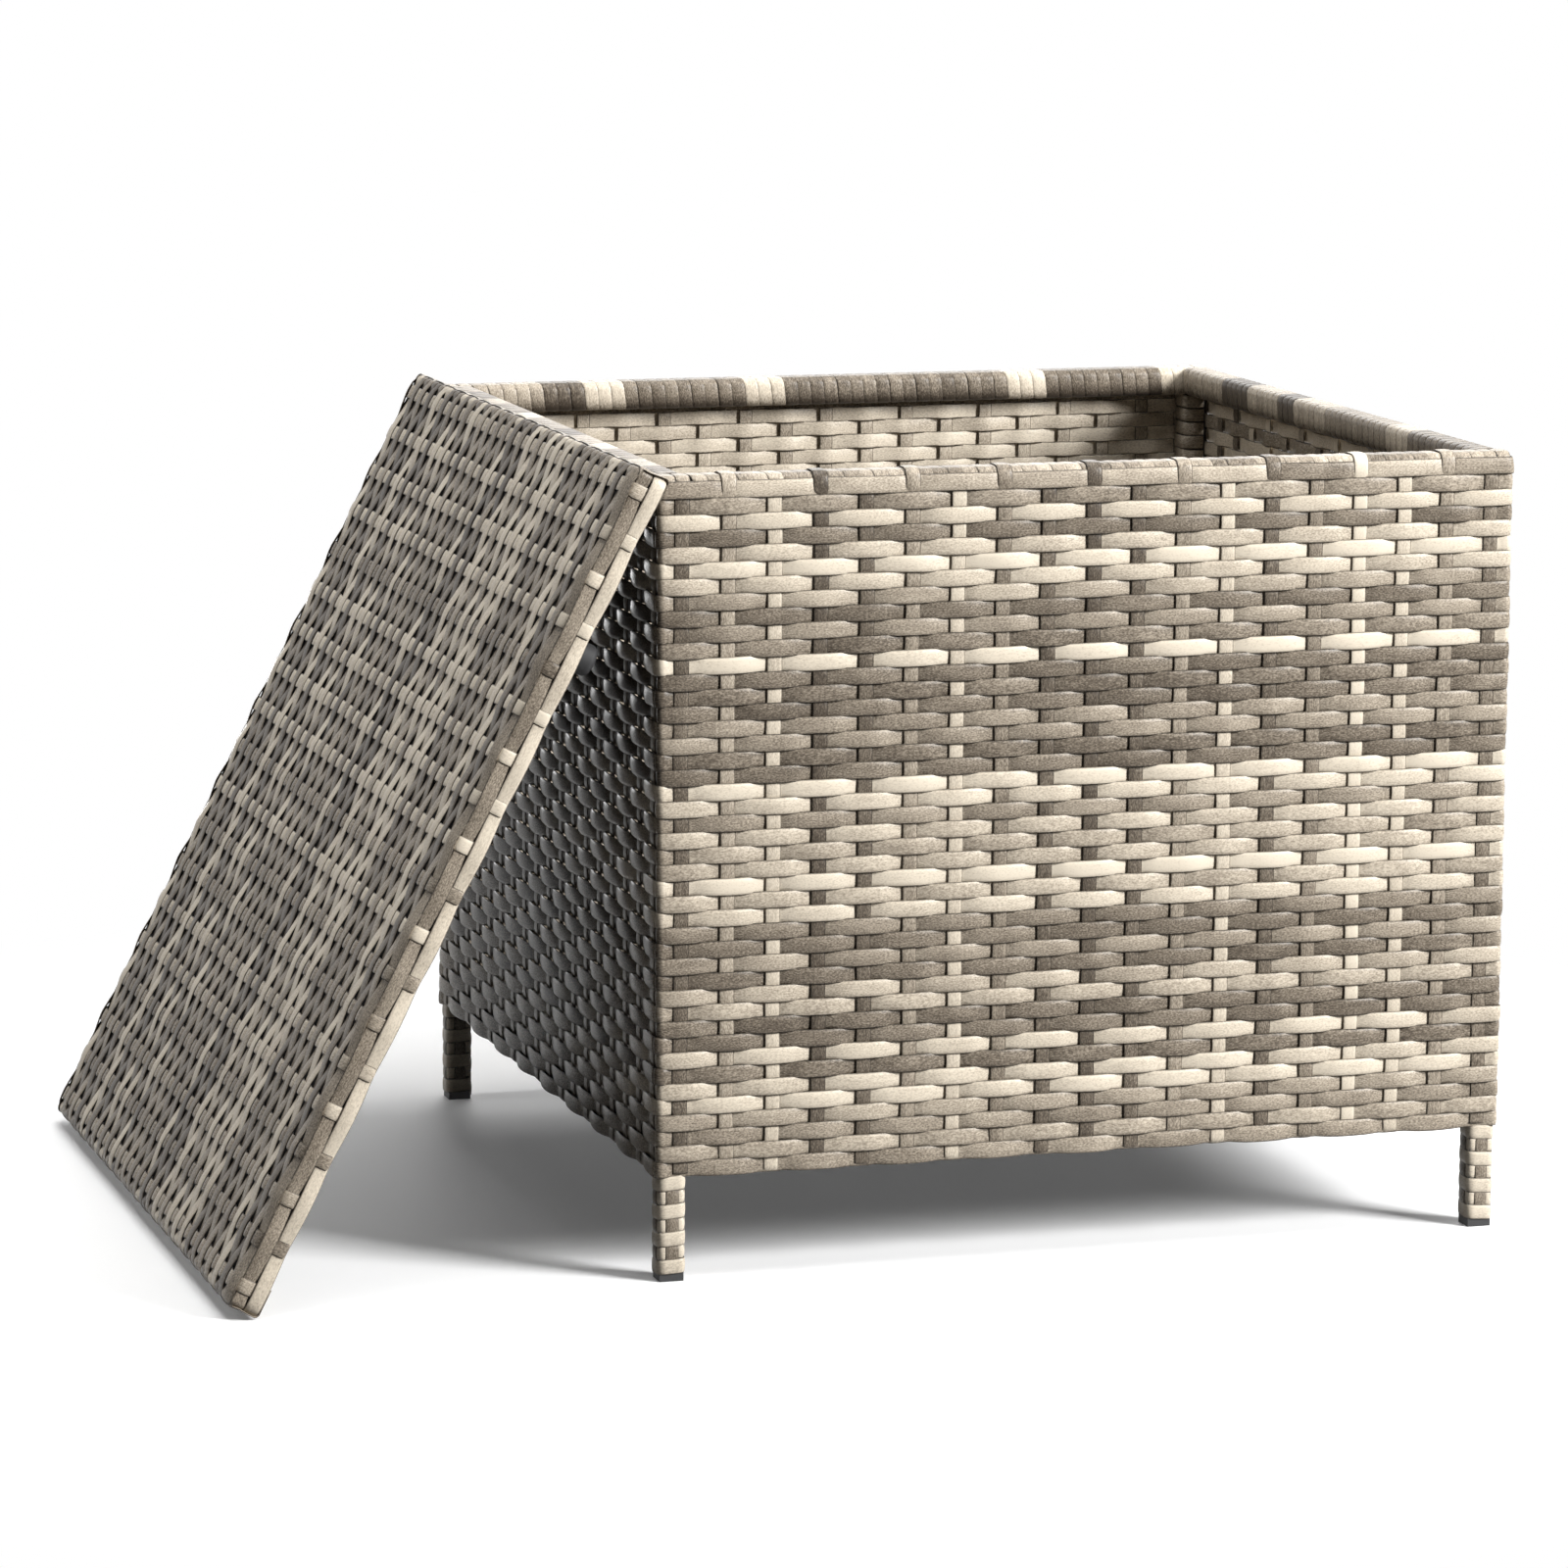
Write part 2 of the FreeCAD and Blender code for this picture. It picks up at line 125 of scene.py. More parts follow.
def wander(along, wave, amount, closed=None):
    """A smooth random wobble along a strip. On a closed strip it ends as it began."""
    total = np.zeros(len(along))
    for stretch in (0.6, 1.0, 1.7):
        length = wave * stretch * rng.uniform(0.85, 1.15)
        if closed:
            length = closed / max(1, round(closed / length))
        total += np.sin(2 * math.pi * along / length + rng.uniform(0, 2 * math.pi))
    return amount * total / 1.7


def lift(swing, out, inward):
    """How far a strip stands off the middle of the weave, from a swing between -1, under, and 1, over."""
    return np.where(swing > 0, out * (1 - (1 - swing) ** 2), -inward * (1 - (1 + swing) ** 2))


def crossing(place, stake_places, numbers, row):
    """A weaver along its line: how far it is from the stake it passes over, and which float it is in."""
    at = np.interp(place, stake_places, numbers)
    away = STAKE_GAP * np.abs((at + row + 1) % 2 - 1)
    floats = np.floor((at + row + 1) / 2).astype(int)
    return away, floats


ARCH_REACH, ARCH_ROUNDING = 25, 0.12


def arch_rise(away):
    """A long arched float: 1 over its stake, near 0 from the edges of the stakes that it goes under."""
    share = 1 - (away / ARCH_REACH) ** 2
    return (share + np.hypot(share, ARCH_ROUNDING)) / 2


def ramp_rise(away, start, end, rounding):
    """A float with straight flanks: 1 over its stake and 0 under the next, with a rounded ridge and foot."""
    slope = np.hypot(away - end, rounding) - np.hypot(away - start, rounding)
    return 0.5 + slope / 2 / (end - start)


def bulge(rise, out, inward):
    """How far a float stands off the middle of the weave, from its rise between 0, under, and 1, over."""
    return -inward + (out + inward) * rise


def unit(vectors):
    return vectors / np.linalg.norm(vectors, axis=-1, keepdims=True)


# Each strip takes its grain from a place of its own in the noise.
GRAIN_SHIFT, GRAIN_LAYERS = 4000, 900


def add_object(name, data):
    made = bpy.data.objects.new(name, data)
    scene.collection.objects.link(made)
    return made


class Strips:
    """Flat strips gathered into one mesh."""

    def __init__(self):
        self.points, self.faces, self.tones, self.grain = [], [], [], []
        self.size = 0

    def add(self, centre, side, half, thick, tone, outline=5.0):
        """One strip along a line of points.

        side is the way that its width runs, and outline how dark its edges are painted, as shade in the gaps
        between strips.
        """
        centre = np.asarray(centre, float)
        count, sides = len(centre), len(SECTION)
        side = np.broadcast_to(np.asarray(side, float), (count, 3))
        half = np.broadcast_to(half, count)
        thick = np.broadcast_to(thick, count)
        along = unit(np.gradient(centre, axis=0))
        up = unit(np.cross(along, side))
        side = np.cross(up, along)
        across = SECTION[:, 0] * half[:, None]
        rise = SECTION[:, 1] * thick[:, None]
        around = centre[:, None] + side[:, None] * across[..., None] + up[:, None] * rise[..., None]
        self.points.append(around.reshape(-1, 3))

        step = np.linalg.norm(np.diff(centre, axis=0), axis=1)
        length = np.concatenate([[0], np.cumsum(step)]) + rng.uniform(0, GRAIN_SHIFT)
        grain = np.empty((count, sides, 3))
        grain[..., 0] = length[:, None]
        grain[..., 1] = outline * SECTION[:, 0]
        grain[..., 2] = rng.uniform(0, GRAIN_LAYERS)
        self.grain.append(grain.reshape(-1, 3))
        self.tones.append(np.repeat(np.broadcast_to(tone, count), sides))

        index = self.size + np.arange(count * sides).reshape(count, sides)
        turned = np.roll(index, -1, axis=1)
        skin = np.stack([index[:-1], index[1:], turned[1:], turned[:-1]], axis=-1)
        self.faces.append(skin.reshape(-1, 4))
        self.faces.append(index[0][END_FACES])
        self.faces.append(index[-1][END_FACES[:, ::-1]])
        self.size += count * sides

    def build(self, name, body, to_frame, material, *stands_for):
        mesh = bpy.data.meshes.new(name)
        points = to_frame(np.concatenate(self.points)) * MM
        faces = np.concatenate(self.faces).astype(np.int32)
        mesh.vertices.add(len(points))
        mesh.vertices.foreach_set("co", points.astype(np.float32).ravel())
        mesh.loops.add(faces.size)
        mesh.loops.foreach_set("vertex_index", faces.ravel())
        mesh.polygons.add(len(faces))
        mesh.polygons.foreach_set("loop_start", np.arange(0, faces.size, 4, dtype=np.int32))
        mesh.update(calc_edges=True)
        mesh.polygons.foreach_set("use_smooth", np.ones(len(faces), bool))
        tone = mesh.attributes.new("tone", "FLOAT", "POINT")
        tones = np.clip(np.concatenate(self.tones), *TONE_LIMITS)
        tone.data.foreach_set("value", tones.astype(np.float32))
        grain = mesh.attributes.new("grain", "FLOAT_VECTOR", "POINT")
        grain.data.foreach_set("vector", np.concatenate(self.grain).astype(np.float32).ravel())
        mesh.materials.append(material)
        piece = add_object(name, mesh)
        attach(piece, body)
        if stands_for:
            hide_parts(*stands_for)


front_low, front_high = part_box("wall_weave_front")
_, back_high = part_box("wall_weave_back")
BOX_MIDDLE = np.array([(front_low.x + front_high.x) / 2, (front_low.y + back_high.y) / 2, 0]) / MM
top_low, top_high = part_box("lid_top_weave")
LID_FOOT = np.array([cad_low.x / MM + LID_THICK * math.sin(LEAN), (top_low.y + top_high.y) / 2 / MM, 0])
LID_AXES = np.array([
    (math.cos(LEAN), 0, math.sin(LEAN)),
    (0, 1, 0),
    (-math.sin(LEAN), 0, math.cos(LEAN)),
])


def box_to_frame(points):
    return points + BOX_MIDDLE


def lid_to_frame(points):
    return points @ LID_AXES + LID_FOOT


# Materials.


def new_material(name):
    material = bpy.data.materials.new(name)
    material.use_nodes = True
    tree = material.node_tree
    return material, tree, tree.nodes["Principled BSDF"]


def add_node(tree, kind, **settings):
    node = tree.nodes.new(kind)
    for key, value in settings.items():
        setattr(node, key, value)
    return node


def noise(tree, vector, scale, detail=2.0, roughness=0.55):
    node = add_node(tree, "ShaderNodeTexNoise")
    node.inputs["Scale"].default_value = scale
    node.inputs["Detail"].default_value = detail
    node.inputs["Roughness"].default_value = roughness
    tree.links.new(vector, node.inputs["Vector"])
    return node.outputs["Fac"]


def scaled(tree, vector, factors):
    node = add_node(tree, "ShaderNodeVectorMath", operation="MULTIPLY")
    tree.links.new(vector, node.inputs[0])
    node.inputs[1].default_value = factors
    return node.outputs["Vector"]


def math_node(tree, operation, first, second):
    node = add_node(tree, "ShaderNodeMath", operation=operation)
    for socket, value in zip(node.inputs, (first, second)):
        if isinstance(value, (int, float)):
            socket.default_value = value
        else:
            tree.links.new(value, socket)
    return node.outputs[0]


def linear(tree, value, factor, offset):
    result = math_node(tree, "MULTIPLY_ADD", value, factor)
    result.node.inputs[2].default_value = offset
    return result


def smooth_range(tree, value, start, end, first=0.0, last=1.0):
    node = add_node(tree, "ShaderNodeMapRange", interpolation_type="SMOOTHSTEP")
    tree.links.new(value, node.inputs["Value"])
    for socket, setting in (("From Min", start), ("From Max", end), ("To Min", first), ("To Max", last)):
        node.inputs[socket].default_value = setting
    return node.outputs["Result"]


def seen_directly(tree):
    """1 for the rays that show the background: from the camera, in reflections and through clear things."""
    path = add_node(tree, "ShaderNodeLightPath")
    shown = math_node(tree, "MAXIMUM", path.outputs["Is Camera Ray"], path.outputs["Is Glossy Ray"])
    return math_node(tree, "MAXIMUM", shown, path.outputs["Is Transmission Ray"])


def ramp(tree, value, stops):
    node = add_node(tree, "ShaderNodeValToRGB")
    tree.links.new(value, node.inputs["Fac"])
    points = node.color_ramp.elements
    while len(points) < len(stops):
        points.new(0.5)
    for point, (place, colour) in zip(points, stops):
        point.position = place
        point.color = (*colour, 1)
    return node.outputs["Color"]


def bump(tree, height, strength, distance):
    node = add_node(tree, "ShaderNodeBump")
    node.inputs["Strength"].default_value = strength
    node.inputs["Distance"].default_value = distance
    tree.links.new(height, node.inputs["Height"])
    return node.outputs["Normal"]


def make_strip_material():
    """Flat plastic strip: mottled grain along it, long pale and dark streaks, painted shade at its edges, satin
    gloss.
    """
    material, tree, shader = new_material("woven_strip")
    tone = add_node(tree, "ShaderNodeAttribute", attribute_name="tone").outputs["Fac"]
    grain = add_node(tree, "ShaderNodeAttribute", attribute_name="grain").outputs["Vector"]
    fine = noise(tree, scaled(tree, grain, (0.65, 1.3, 1.0)), 1.0, 2.0, 0.6)
    streak = noise(tree, scaled(tree, grain, (0.05, 0.6, 1.0)), 1.0, 2.0)
    blotch = noise(tree, scaled(tree, grain, (0.06, 0.15, 1.0)), 1.0, 1.0)
    total = tone
    for pattern, strength in ((fine, 1.3), (streak, 0.2), (blotch, 0.3)):
        total = math_node(tree, "ADD", total, linear(tree, pattern, strength, -strength / 2))
    parts = add_node(tree, "ShaderNodeSeparateXYZ")
    tree.links.new(grain, parts.inputs["Vector"])
    across = math_node(tree, "ABSOLUTE", parts.outputs["Y"], 0)
    # The edges of each strip are painted darker, as shade in the gaps between strips.
    edge = smooth_range(tree, across, 4.0, 5.0, 1.0, 0.2)
    colour = ramp(tree, linear(tree, total, 0.77, 0.23), [
        (0.0, (0.05, 0.039, 0.029)),
        (0.23, (0.118, 0.096, 0.073)),
        (0.384, (0.215, 0.18, 0.139)),
        (0.577, (0.36, 0.308, 0.243)),
        (0.769, (0.53, 0.462, 0.368)),
        (1.0, (0.665, 0.59, 0.477)),
    ])
    edge_shaded = add_node(tree, "ShaderNodeVectorMath", operation="SCALE")
    tree.links.new(colour, edge_shaded.inputs["Vector"])
    tree.links.new(edge, edge_shaded.inputs["Scale"])
    tree.links.new(edge_shaded.outputs["Vector"], shader.inputs["Base Color"])
    tree.links.new(linear(tree, fine, 0.2, 0.27), shader.inputs["Roughness"])
    height = math_node(tree, "ADD", fine, streak)
    tree.links.new(bump(tree, height, 0.4, 0.0002), shader.inputs["Normal"])
    shader.inputs["Specular IOR Level"].default_value = 0.18
    return material


def make_plain_material(name, dark, pale, scale, rough, depth, metallic=0.0):
    """A coated or moulded surface: fine mottling between two colours, with its own roughness and bump."""
    material, tree, shader = new_material(name)
    place = add_node(tree, "ShaderNodeTexCoord").outputs["Object"]
    fine = noise(tree, place, scale, 3.0, 0.6)
    broad = noise(tree, place, scale / 18, 2.0)
    mixed = math_node(tree, "ADD", fine, broad)
    mixed = math_node(tree, "MULTIPLY", mixed, 0.5)
    tree.links.new(ramp(tree, mixed, [(0.3, dark), (0.7, pale)]), shader.inputs["Base Color"])
    tree.links.new(linear(tree, broad, 0.2, rough - 0.1), shader.inputs["Roughness"])
    tree.links.new(bump(tree, fine, 0.4, depth), shader.inputs["Normal"])
    shader.inputs["Metallic"].default_value = metallic
    return material


strip_material = make_strip_material()
# Dark and pale colour, scale of the mottling, roughness, depth of the bump, and metallic where it is metal.
PLAIN_MATERIALS = {
    "frame_steel": ((0.012, 0.012, 0.013), (0.028, 0.028, 0.03), 900, 0.42, 0.0002),
    "foot_plastic": ((0.012, 0.012, 0.012), (0.03, 0.03, 0.031), 1400, 0.5, 0.00015),
    "floor_sheet": ((0.03, 0.029, 0.028), (0.055, 0.053, 0.05), 700, 0.6, 0.0003),
    "screw_steel": ((0.42, 0.42, 0.41), (0.62, 0.62, 0.6), 1800, 0.34, 0.0001, 1.0),
    "peg_rubber": ((0.01, 0.01, 0.01), (0.022, 0.022, 0.023), 1600, 0.7, 0.0002),
}
# The dark sheet under the lid's weave stands in for the shade seen through its gaps.
LID_SHADE_SHEET_LOOK = ((0.008, 0.008, 0.008), (0.02, 0.019, 0.018), 1200, 0.8, 0.0003)
slot_materials = {name: make_plain_material(name, *look) for name, look in PLAIN_MATERIALS.items()}
# The slot of a node is that of the first start that its name has.
NODE_SLOTS = [
    ("post_", "frame_steel"), ("top_rail_", "frame_steel"), ("bottom_rail_", "frame_steel"),
    ("floor_bearer_", "frame_steel"), ("lid_rail_", "frame_steel"), ("lid_crossbar_", "frame_steel"),
    ("foot_plug_", "foot_plastic"), ("floor_panel", "floor_sheet"), ("floor_screws", "screw_steel"),
    ("lid_peg_screws", "screw_steel"), ("lid_peg_", "peg_rubber"),
]
for node_name, node_piece in nodes.items():
    for start, slot_name in NODE_SLOTS:
        if node_name.startswith(start):
            node_piece.data.materials.clear()
            node_piece.data.materials.append(slot_materials[slot_name])
            break


# Round the box.


def ring(half_x, half_y, radius, step, arc_steps):
    """A rounded rectangle, anticlockwise from the front left corner.

    Gives its points, outward normals and lengths, and the index at which each arc and straight run starts.
    """
    signs = [(-1, -1, 180), (1, -1, 270), (1, 1, 0), (-1, 1, 90)]
    points, normals, starts = [], [], []
    for turn, (sx, sy, angle) in enumerate(signs):
        centre = np.array([sx * (half_x - radius), sy * (half_y - radius)])
        starts.append(len(points))
        for bearing in np.radians(np.linspace(angle, angle + 90, arc_steps + 1)):
            normal = np.array([math.cos(bearing), math.sin(bearing)])
            points.append(centre + radius * normal)
            normals.append(normal)
        starts.append(len(points) - 1)
        next_x, next_y, _ = signs[(turn + 1) % 4]
        begin = points[-1]
        end = np.array([next_x * (half_x - radius), next_y * (half_y - radius)]) + radius * normals[-1]
        count = max(2, round(np.linalg.norm(end - begin) / step))
        for share in np.arange(1, count) / count:
            points.append(begin + (end - begin) * share)
            normals.append(normals[-1])
    points.append(points[0])
    normals.append(normals[0])
    points, normals = np.array(points), np.array(normals)
    step = np.linalg.norm(np.diff(points, axis=0), axis=1)
    return points, normals, np.concatenate([[0], np.cumsum(step)]), starts


def with_z(flat, z):
    return np.column_stack([flat, np.broadcast_to(z, len(flat))])


mid = HALF - WALL_MID_IN
mid_radius = CORNER_RADIUS - WALL_MID_IN
ring_points, ring_normals, ring_along, ring_starts = ring(mid, mid, mid_radius, RING_STEP, RING_ARC_STEPS)
ring_length = ring_along[-1]
WALL_SPANS = {
    "front": (ring_starts[0], ring_starts[3]),
    "right": (ring_starts[3], ring_starts[4]),
    "back": (ring_starts[4], ring_starts[7]),
    "left": (ring_starts[7], len(ring_points) - 1),
}

# Every stake of the box: its wall, how far along the ring it stands, its place, its outward normal and the
# way onward along the wall.
stakes = []
for wall, run in zip(WALLS, (1, 3, 5, 7)):
    count = FRONT_STAKES if wall in ("front", "back") else SIDE_STAKES
    begin = ring_points[ring_starts[run]]
    normal = ring_normals[ring_starts[run]]
    onward = np.array([-normal[1], normal[0]])
    for place in np.linspace(FIRST_STAKE, 2 * HALF - FIRST_STAKE, count):
        ahead = place - WALL_MID_IN - mid_radius
        stakes.append((wall, ring_along[ring_starts[run]] + ahead, begin + onward * ahead, normal, onward))
stake_along = np.array([stake[1] for stake in stakes])
stake_number = np.arange(1, len(stakes) + 1)
closed_places = np.concatenate([[stake_along[-1] - ring_length], stake_along, [stake_along[0] + ring_length]])
closed_numbers = np.arange(len(stakes) + 2)
corner_middles = [(ring_along[ring_starts[n]] + ring_along[ring_starts[n + 1]]) / 2 for n in (0, 2, 4, 6)]


# The back's second row is painted darker, as shade under the rim.
SHADED_BACK_ROW, SHADED_BACK_TONE = 1, 0.3
BLEND_REACH = 45


def wall_tones():
    """One tone for each row on each wall, from the top.

    The left wall goes on from the front, painted darker as shade under the lid. The back is paler,
    but for a row painted darker as shade under the rim.
    """
    tones = {
        "front": ROW_TONES,
        # The left wall's rows are painted darker, as shade under the leaning lid.
        "left": ROW_TONES * 0.7 - 0.14 + rng.normal(0, 0.06, ROWS),
        "right": np.clip(ROW_TONES * 0.6 + 0.2 + rng.normal(0, 0.12, ROWS), 0, 1),
        "back": np.clip(0.74 + rng.normal(0, 0.05, ROWS), 0, 1),
    }
    # Painted shade: the row under the back's rim is darker.
    tones["back"][SHADED_BACK_ROW] = SHADED_BACK_TONE
    return tones


def blended_tone(tones, row):
    """A row's tone round the ring, changing over the last stretch before each corner."""
    knots, values = [], []
    for wall in WALLS:
        first, last = (ring_along[n] for n in WALL_SPANS[wall])
        knots += [first + BLEND_REACH, last - BLEND_REACH]
        values += [tones[wall][row], tones[wall][row]]
    knots = [knots[-1] - ring_length] + knots + [knots[0] + ring_length]
    values = [values[-1]] + values + [values[0]]
    return np.interp(ring_along, knots, values)


def weave_rows(strips):
    """Each row is one strip right round the box, which stands out a little at the corners."""
    tones = wall_tones()
    for row in range(1, ROWS + 1):
        top_row = row == 1
        away, floats = crossing(ring_along, closed_places, closed_numbers, row)
        rise = arch_rise(away)
        stand = bulge(rise, FLOAT_OUT, FLOAT_IN) * (1 + wander(ring_along, 70, 0.06, ring_length))
        if top_row:
            stand = TOP_ROW_OUT + TOP_ROW_FLATTEN * stand - TOP_ROW_DIP * smooth(0.3, 0.05, rise)
        near_corner = np.zeros(len(ring_along))
        for middle in corner_middles:
            away = np.abs(ring_along - middle)
            away = np.minimum(away, ring_length - away)
            out = np.clip(rng.normal(CORNER_OUT, CORNER_SPREAD), 0, CORNER_MOST)
            stand += out * np.exp(-((away / CORNER_WIDTH) ** 2))
            near_corner = np.maximum(near_corner, smooth(26, 19, away))
        level = WALL_TOP - (row - 0.5) * ROW_PITCH
        lowest = np.where(level < RAIL_TOP, POST_FACE, -FLOAT_IN)
        stand = np.maximum(stand, lowest + (POST_FACE - lowest) * near_corner)
        if top_row:
            level += TOP_ROW_UP
        z = level + wander(ring_along, 110, 0.16, ring_length)
        centre = with_z(ring_points + ring_normals * stand[:, None], z)
        tilt = wander(ring_along, 48, 0.035, ring_length)
        if top_row:
            tilt -= TOP_ROW_TILT
        side = with_z(ring_normals * tilt[:, None], 1)
        half = ROW_HALF + ROW_OVER * smooth(0.3, 0.95, rise) + ROW_UNDER * smooth(0.14, 0.05, rise)
        half += wander(ring_along, 52, 0.05, ring_length)
        if top_row:
            half = np.full(len(ring_along), TOP_ROW_HALF)
        float_tones = rng.normal(0, 0.11 if top_row else 0.05, floats.max() + 1)
        tone = blended_tone(tones, row - 1) + float_tones[floats] + wander(ring_along, 64, 0.02, ring_length)
        for wall, (first, last) in WALL_SPANS.items():
            part = slice(first, last + 1)
            strips[wall].add(centre[part], side[part], half[part], STRIP_THICK, tone[part])


# A stake's end over the rim and under the hem: how far it stands out, and its height above or below the wall.
OVER_RIM = [(1.35, -1.2), (0.85, 1.0), (-0.1, 2.7), (-1.6, 3.9), (-4.2, 4.7), (-8.0, 4.9), (-12.2, 4.8),
            (-15.4, 4.0), (-17.4, 2.6), (-18.8, 0.8), (-19.4, -1.4), (-19.5, -4.0)]
BEHIND_RIM = [(0.6, 0.2), (0.0, 0.8)]
UNDER_HEM = [(-15, 0.1), (-12, -0.1), (-6, -0.3), (-2.2, -0.4), (-0.7, -0.2), (0.1, 0.5)]
# Stakes nearer to a corner than this stand over a leg, and aren't turned under.
LEG_REACH = 24.0
OVER_RIM_BUMP = 0.35
# The second pair, the left wall's stakes, is painted darker, as shade under the leaning lid.
BACK_STAKE_TONES, LEFT_STAKE_TONES = (0.3, 0.6), (0.1, 0.3)


def weave_stakes(strips):
    """The uprights. Every second one goes over the front's rim, or up behind the back's and the right's."""
    rise = np.arange(WALL_FOOT + 2.0, WALL_TOP - 0.5, STAKE_STEP)
    for number, (wall, _, place, normal, onward) in zip(stake_number, stakes):
        row_at = (WALL_TOP - rise) / ROW_PITCH + 0.5
        stand = STAKE_LEVEL - STAKE_SWING * np.cos(np.pi * (number + row_at))
        heights = rise
        drift = wander(rise, 160, 0.35)
        if number % 2 == 0 and wall != "left":
            ending = OVER_RIM if wall == "front" else BEHIND_RIM
            if wall == "front":
                stand = stand + OVER_RIM_BUMP * smooth(WALL_TOP - 14, WALL_TOP - 6, rise)
                below = rise < WALL_TOP - 3
                stand, heights, drift = stand[below], heights[below], drift[below]
            stand = np.concatenate([stand, [out for out, up in ending]])
            heights = np.concatenate([heights, [WALL_TOP + up for out, up in ending]])
            drift = np.concatenate([drift, np.full(len(ending), drift[-1])])
        if HALF - np.abs(place @ onward) > LEG_REACH:
            stand = np.concatenate([[out for out, up in UNDER_HEM], stand])
            heights = np.concatenate([[WALL_FOOT + up for out, up in UNDER_HEM], heights])
            drift = np.concatenate([np.full(len(UNDER_HEM), drift[0]), drift])
        flat = place + normal * stand[:, None] + onward * drift[:, None]
        half = STAKE_HALF + wander(heights, 60, 0.08)
        if wall == "front":
            tone = STAKE_TONES[number - 1]
        elif wall == "back":
            tone = rng.uniform(*BACK_STAKE_TONES)
        elif wall == "left":
            tone = rng.uniform(*LEFT_STAKE_TONES)
        else:
            tone = rng.choice(STAKE_TONES)
        tones = tone + wander(heights, 90, 0.03)
        strips[wall].add(with_z(flat, heights), np.append(-onward, 0), half, STAKE_THICK, tones)


# Windings round square tube.


def rounded_turn(half, radius):
    """One turn round a square tube, outward and up, from the middle of its underside, inner side first."""
    flat = half - radius
    arc = np.radians((0, 30, 60, 90))
    turn = [(0, -half)]
    turn += [(-flat - radius * math.sin(a), -flat - radius * math.cos(a)) for a in arc]
    turn += [(-half, 0)]
    turn += [(-flat - radius * math.cos(a), flat + radius * math.sin(a)) for a in arc]
    turn += [(0, half)]
    turn += [(flat + radius * math.sin(a), flat + radius * math.cos(a)) for a in arc]
    turn += [(half, 0)]
    turn += [(flat + radius * math.cos(a), -flat - radius * math.sin(a)) for a in arc]
    return np.array(turn)


RIM_HALF = 8.7
RIM_AXIS_IN, RIM_AXIS_Z = 11.7, RIM_TOP - RIM_HALF
RIM_THICK, RIM_OVERLAP = 1.25, 0.3
RIM_TURN = rounded_turn(9.2, 4.6)
# How much darker the underside of a turn is painted, as shade under the rim.
RIM_SHADE = 0.45
# Half width of the open turns at a rim's ends, and how far they are past the end of the winding.
OPEN_TURN_HALF, OPEN_TURNS = 4.5, (4.5, 13.5)
WALL_AXES = {
    "front": ((0, -1), (1, 0)), "right": ((1, 0), (0, 1)),
    "back": ((0, 1), (-1, 0)), "left": ((-1, 0), (0, -1)),
}
# The runs of turns along each rim, as (turns, tone).
RIM_RUNS = {
    "front": ((4, 0.32), (2, 0.5), (5, 0.2), (3, 0.4), (4, 0.15), (5, 0.32), (3, 0.5), (4, 0.2), (5, 0.4),
              (3, 0.1), (4, 0.32), (3, 0.5), (5, 0.2), (4, 0.4)),
    "right": ((11, 0.02), (4, 0.6), (11, 0.18), (6, 0.46), (3, -0.25), (6, 0.44), (5, -0.22), (8, 0.38)),
    "back": ((2, 0.8), (9, 0.06), (3, 0.78), (17, 0.1), (3, 0.76), (9, 0.12), (3, 0.78), (3, -0.02),
             (5, 0.42)),
    "left": ((4, 0.2), (5, 0.0), (3, 0.45), (6, 0.1), (3, 0.72), (7, 0.2), (4, -0.1), (5, 0.3), (3, 0.72),
             (6, 0.1), (4, 0.45), (4, 0.0)),
}


def wind_rim(strips, wall):
    """The strip wound round one top rail, in runs of one tone, with open turns over the posts."""
    normal, onward = (np.array(axis, float) for axis in WALL_AXES[wall])
    reach = HALF - RIM_AXIS_IN - RIM_HALF
    runs = RIM_RUNS[wall]
    pitch = 2 * reach / sum(run for run, tone in runs)
    made = 0
    for run, tone in runs:
        steps = run * len(RIM_TURN) + 1
        section = RIM_TURN[np.arange(steps) % len(RIM_TURN)]
        along = -reach + pitch * (made + np.arange(steps) / len(RIM_TURN))
        along += wander(along, 30, 0.25)
        out = HALF - RIM_AXIS_IN + section[:, 0]
        flat = normal * out[:, None] + onward * along[:, None]
        centre = with_z(flat, RIM_AXIS_Z + section[:, 1])
        # The lower part of each turn is painted darker, as shade under the rim.
        tones = tone + wander(along, 14, 0.06) - RIM_SHADE * smooth(1, -9, section[:, 1])
        strips.add(centre, np.append(onward, 0), pitch / 2 + RIM_OVERLAP, RIM_THICK, tones)
        made += run
    if wall in ("front", "back"):
        open_turn = RIM_TURN[2:-2]
        for end in (-1, 1):
            for beyond in OPEN_TURNS:
                place = reach + beyond
                out = HALF - RIM_AXIS_IN + open_turn[:, 0]
                shift = np.full(len(open_turn), end * place) + np.linspace(-0.4, 0.4, len(open_turn))
                flat = normal * out[:, None] + onward * shift[:, None]
                centre = with_z(flat, RIM_AXIS_Z + open_turn[:, 1])
                end_tone = runs[0 if end < 0 else -1][1]
                strips.add(centre, np.append(onward, 0), OPEN_TURN_HALF, RIM_THICK, end_tone)


LEG_ROWS, LEG_FOOT = 7, 4.5
LEG_AXIS_IN = 10.5
LEG_HALF, LEG_RADIUS = 8.05, 3.2
# A ring's thickness, how far one that goes over the dark strips stands out, what a ring gains or loses on
# them, and how far it climbs in a turn.
LEG_RING_THICK, LEG_RING_OUT, LEG_RING_BUMP, LEG_RING_CLIMB = 1.3, 0.2, 0.3, (3.4, 5.0)
LEG_WIDER_OVER, LEG_WIDER_UNDER = 0.35, -0.1
LEG_STRIP_OUT, LEG_STRIP_IN = 0.55, 0.45
LEG_RING_TONES, LEG_STRIP_TONES = (0.8, 0.95), (0.05, 0.19)
LEG_STRIP_HALF, LEG_STRIP_THICK = 4.1, 1.1


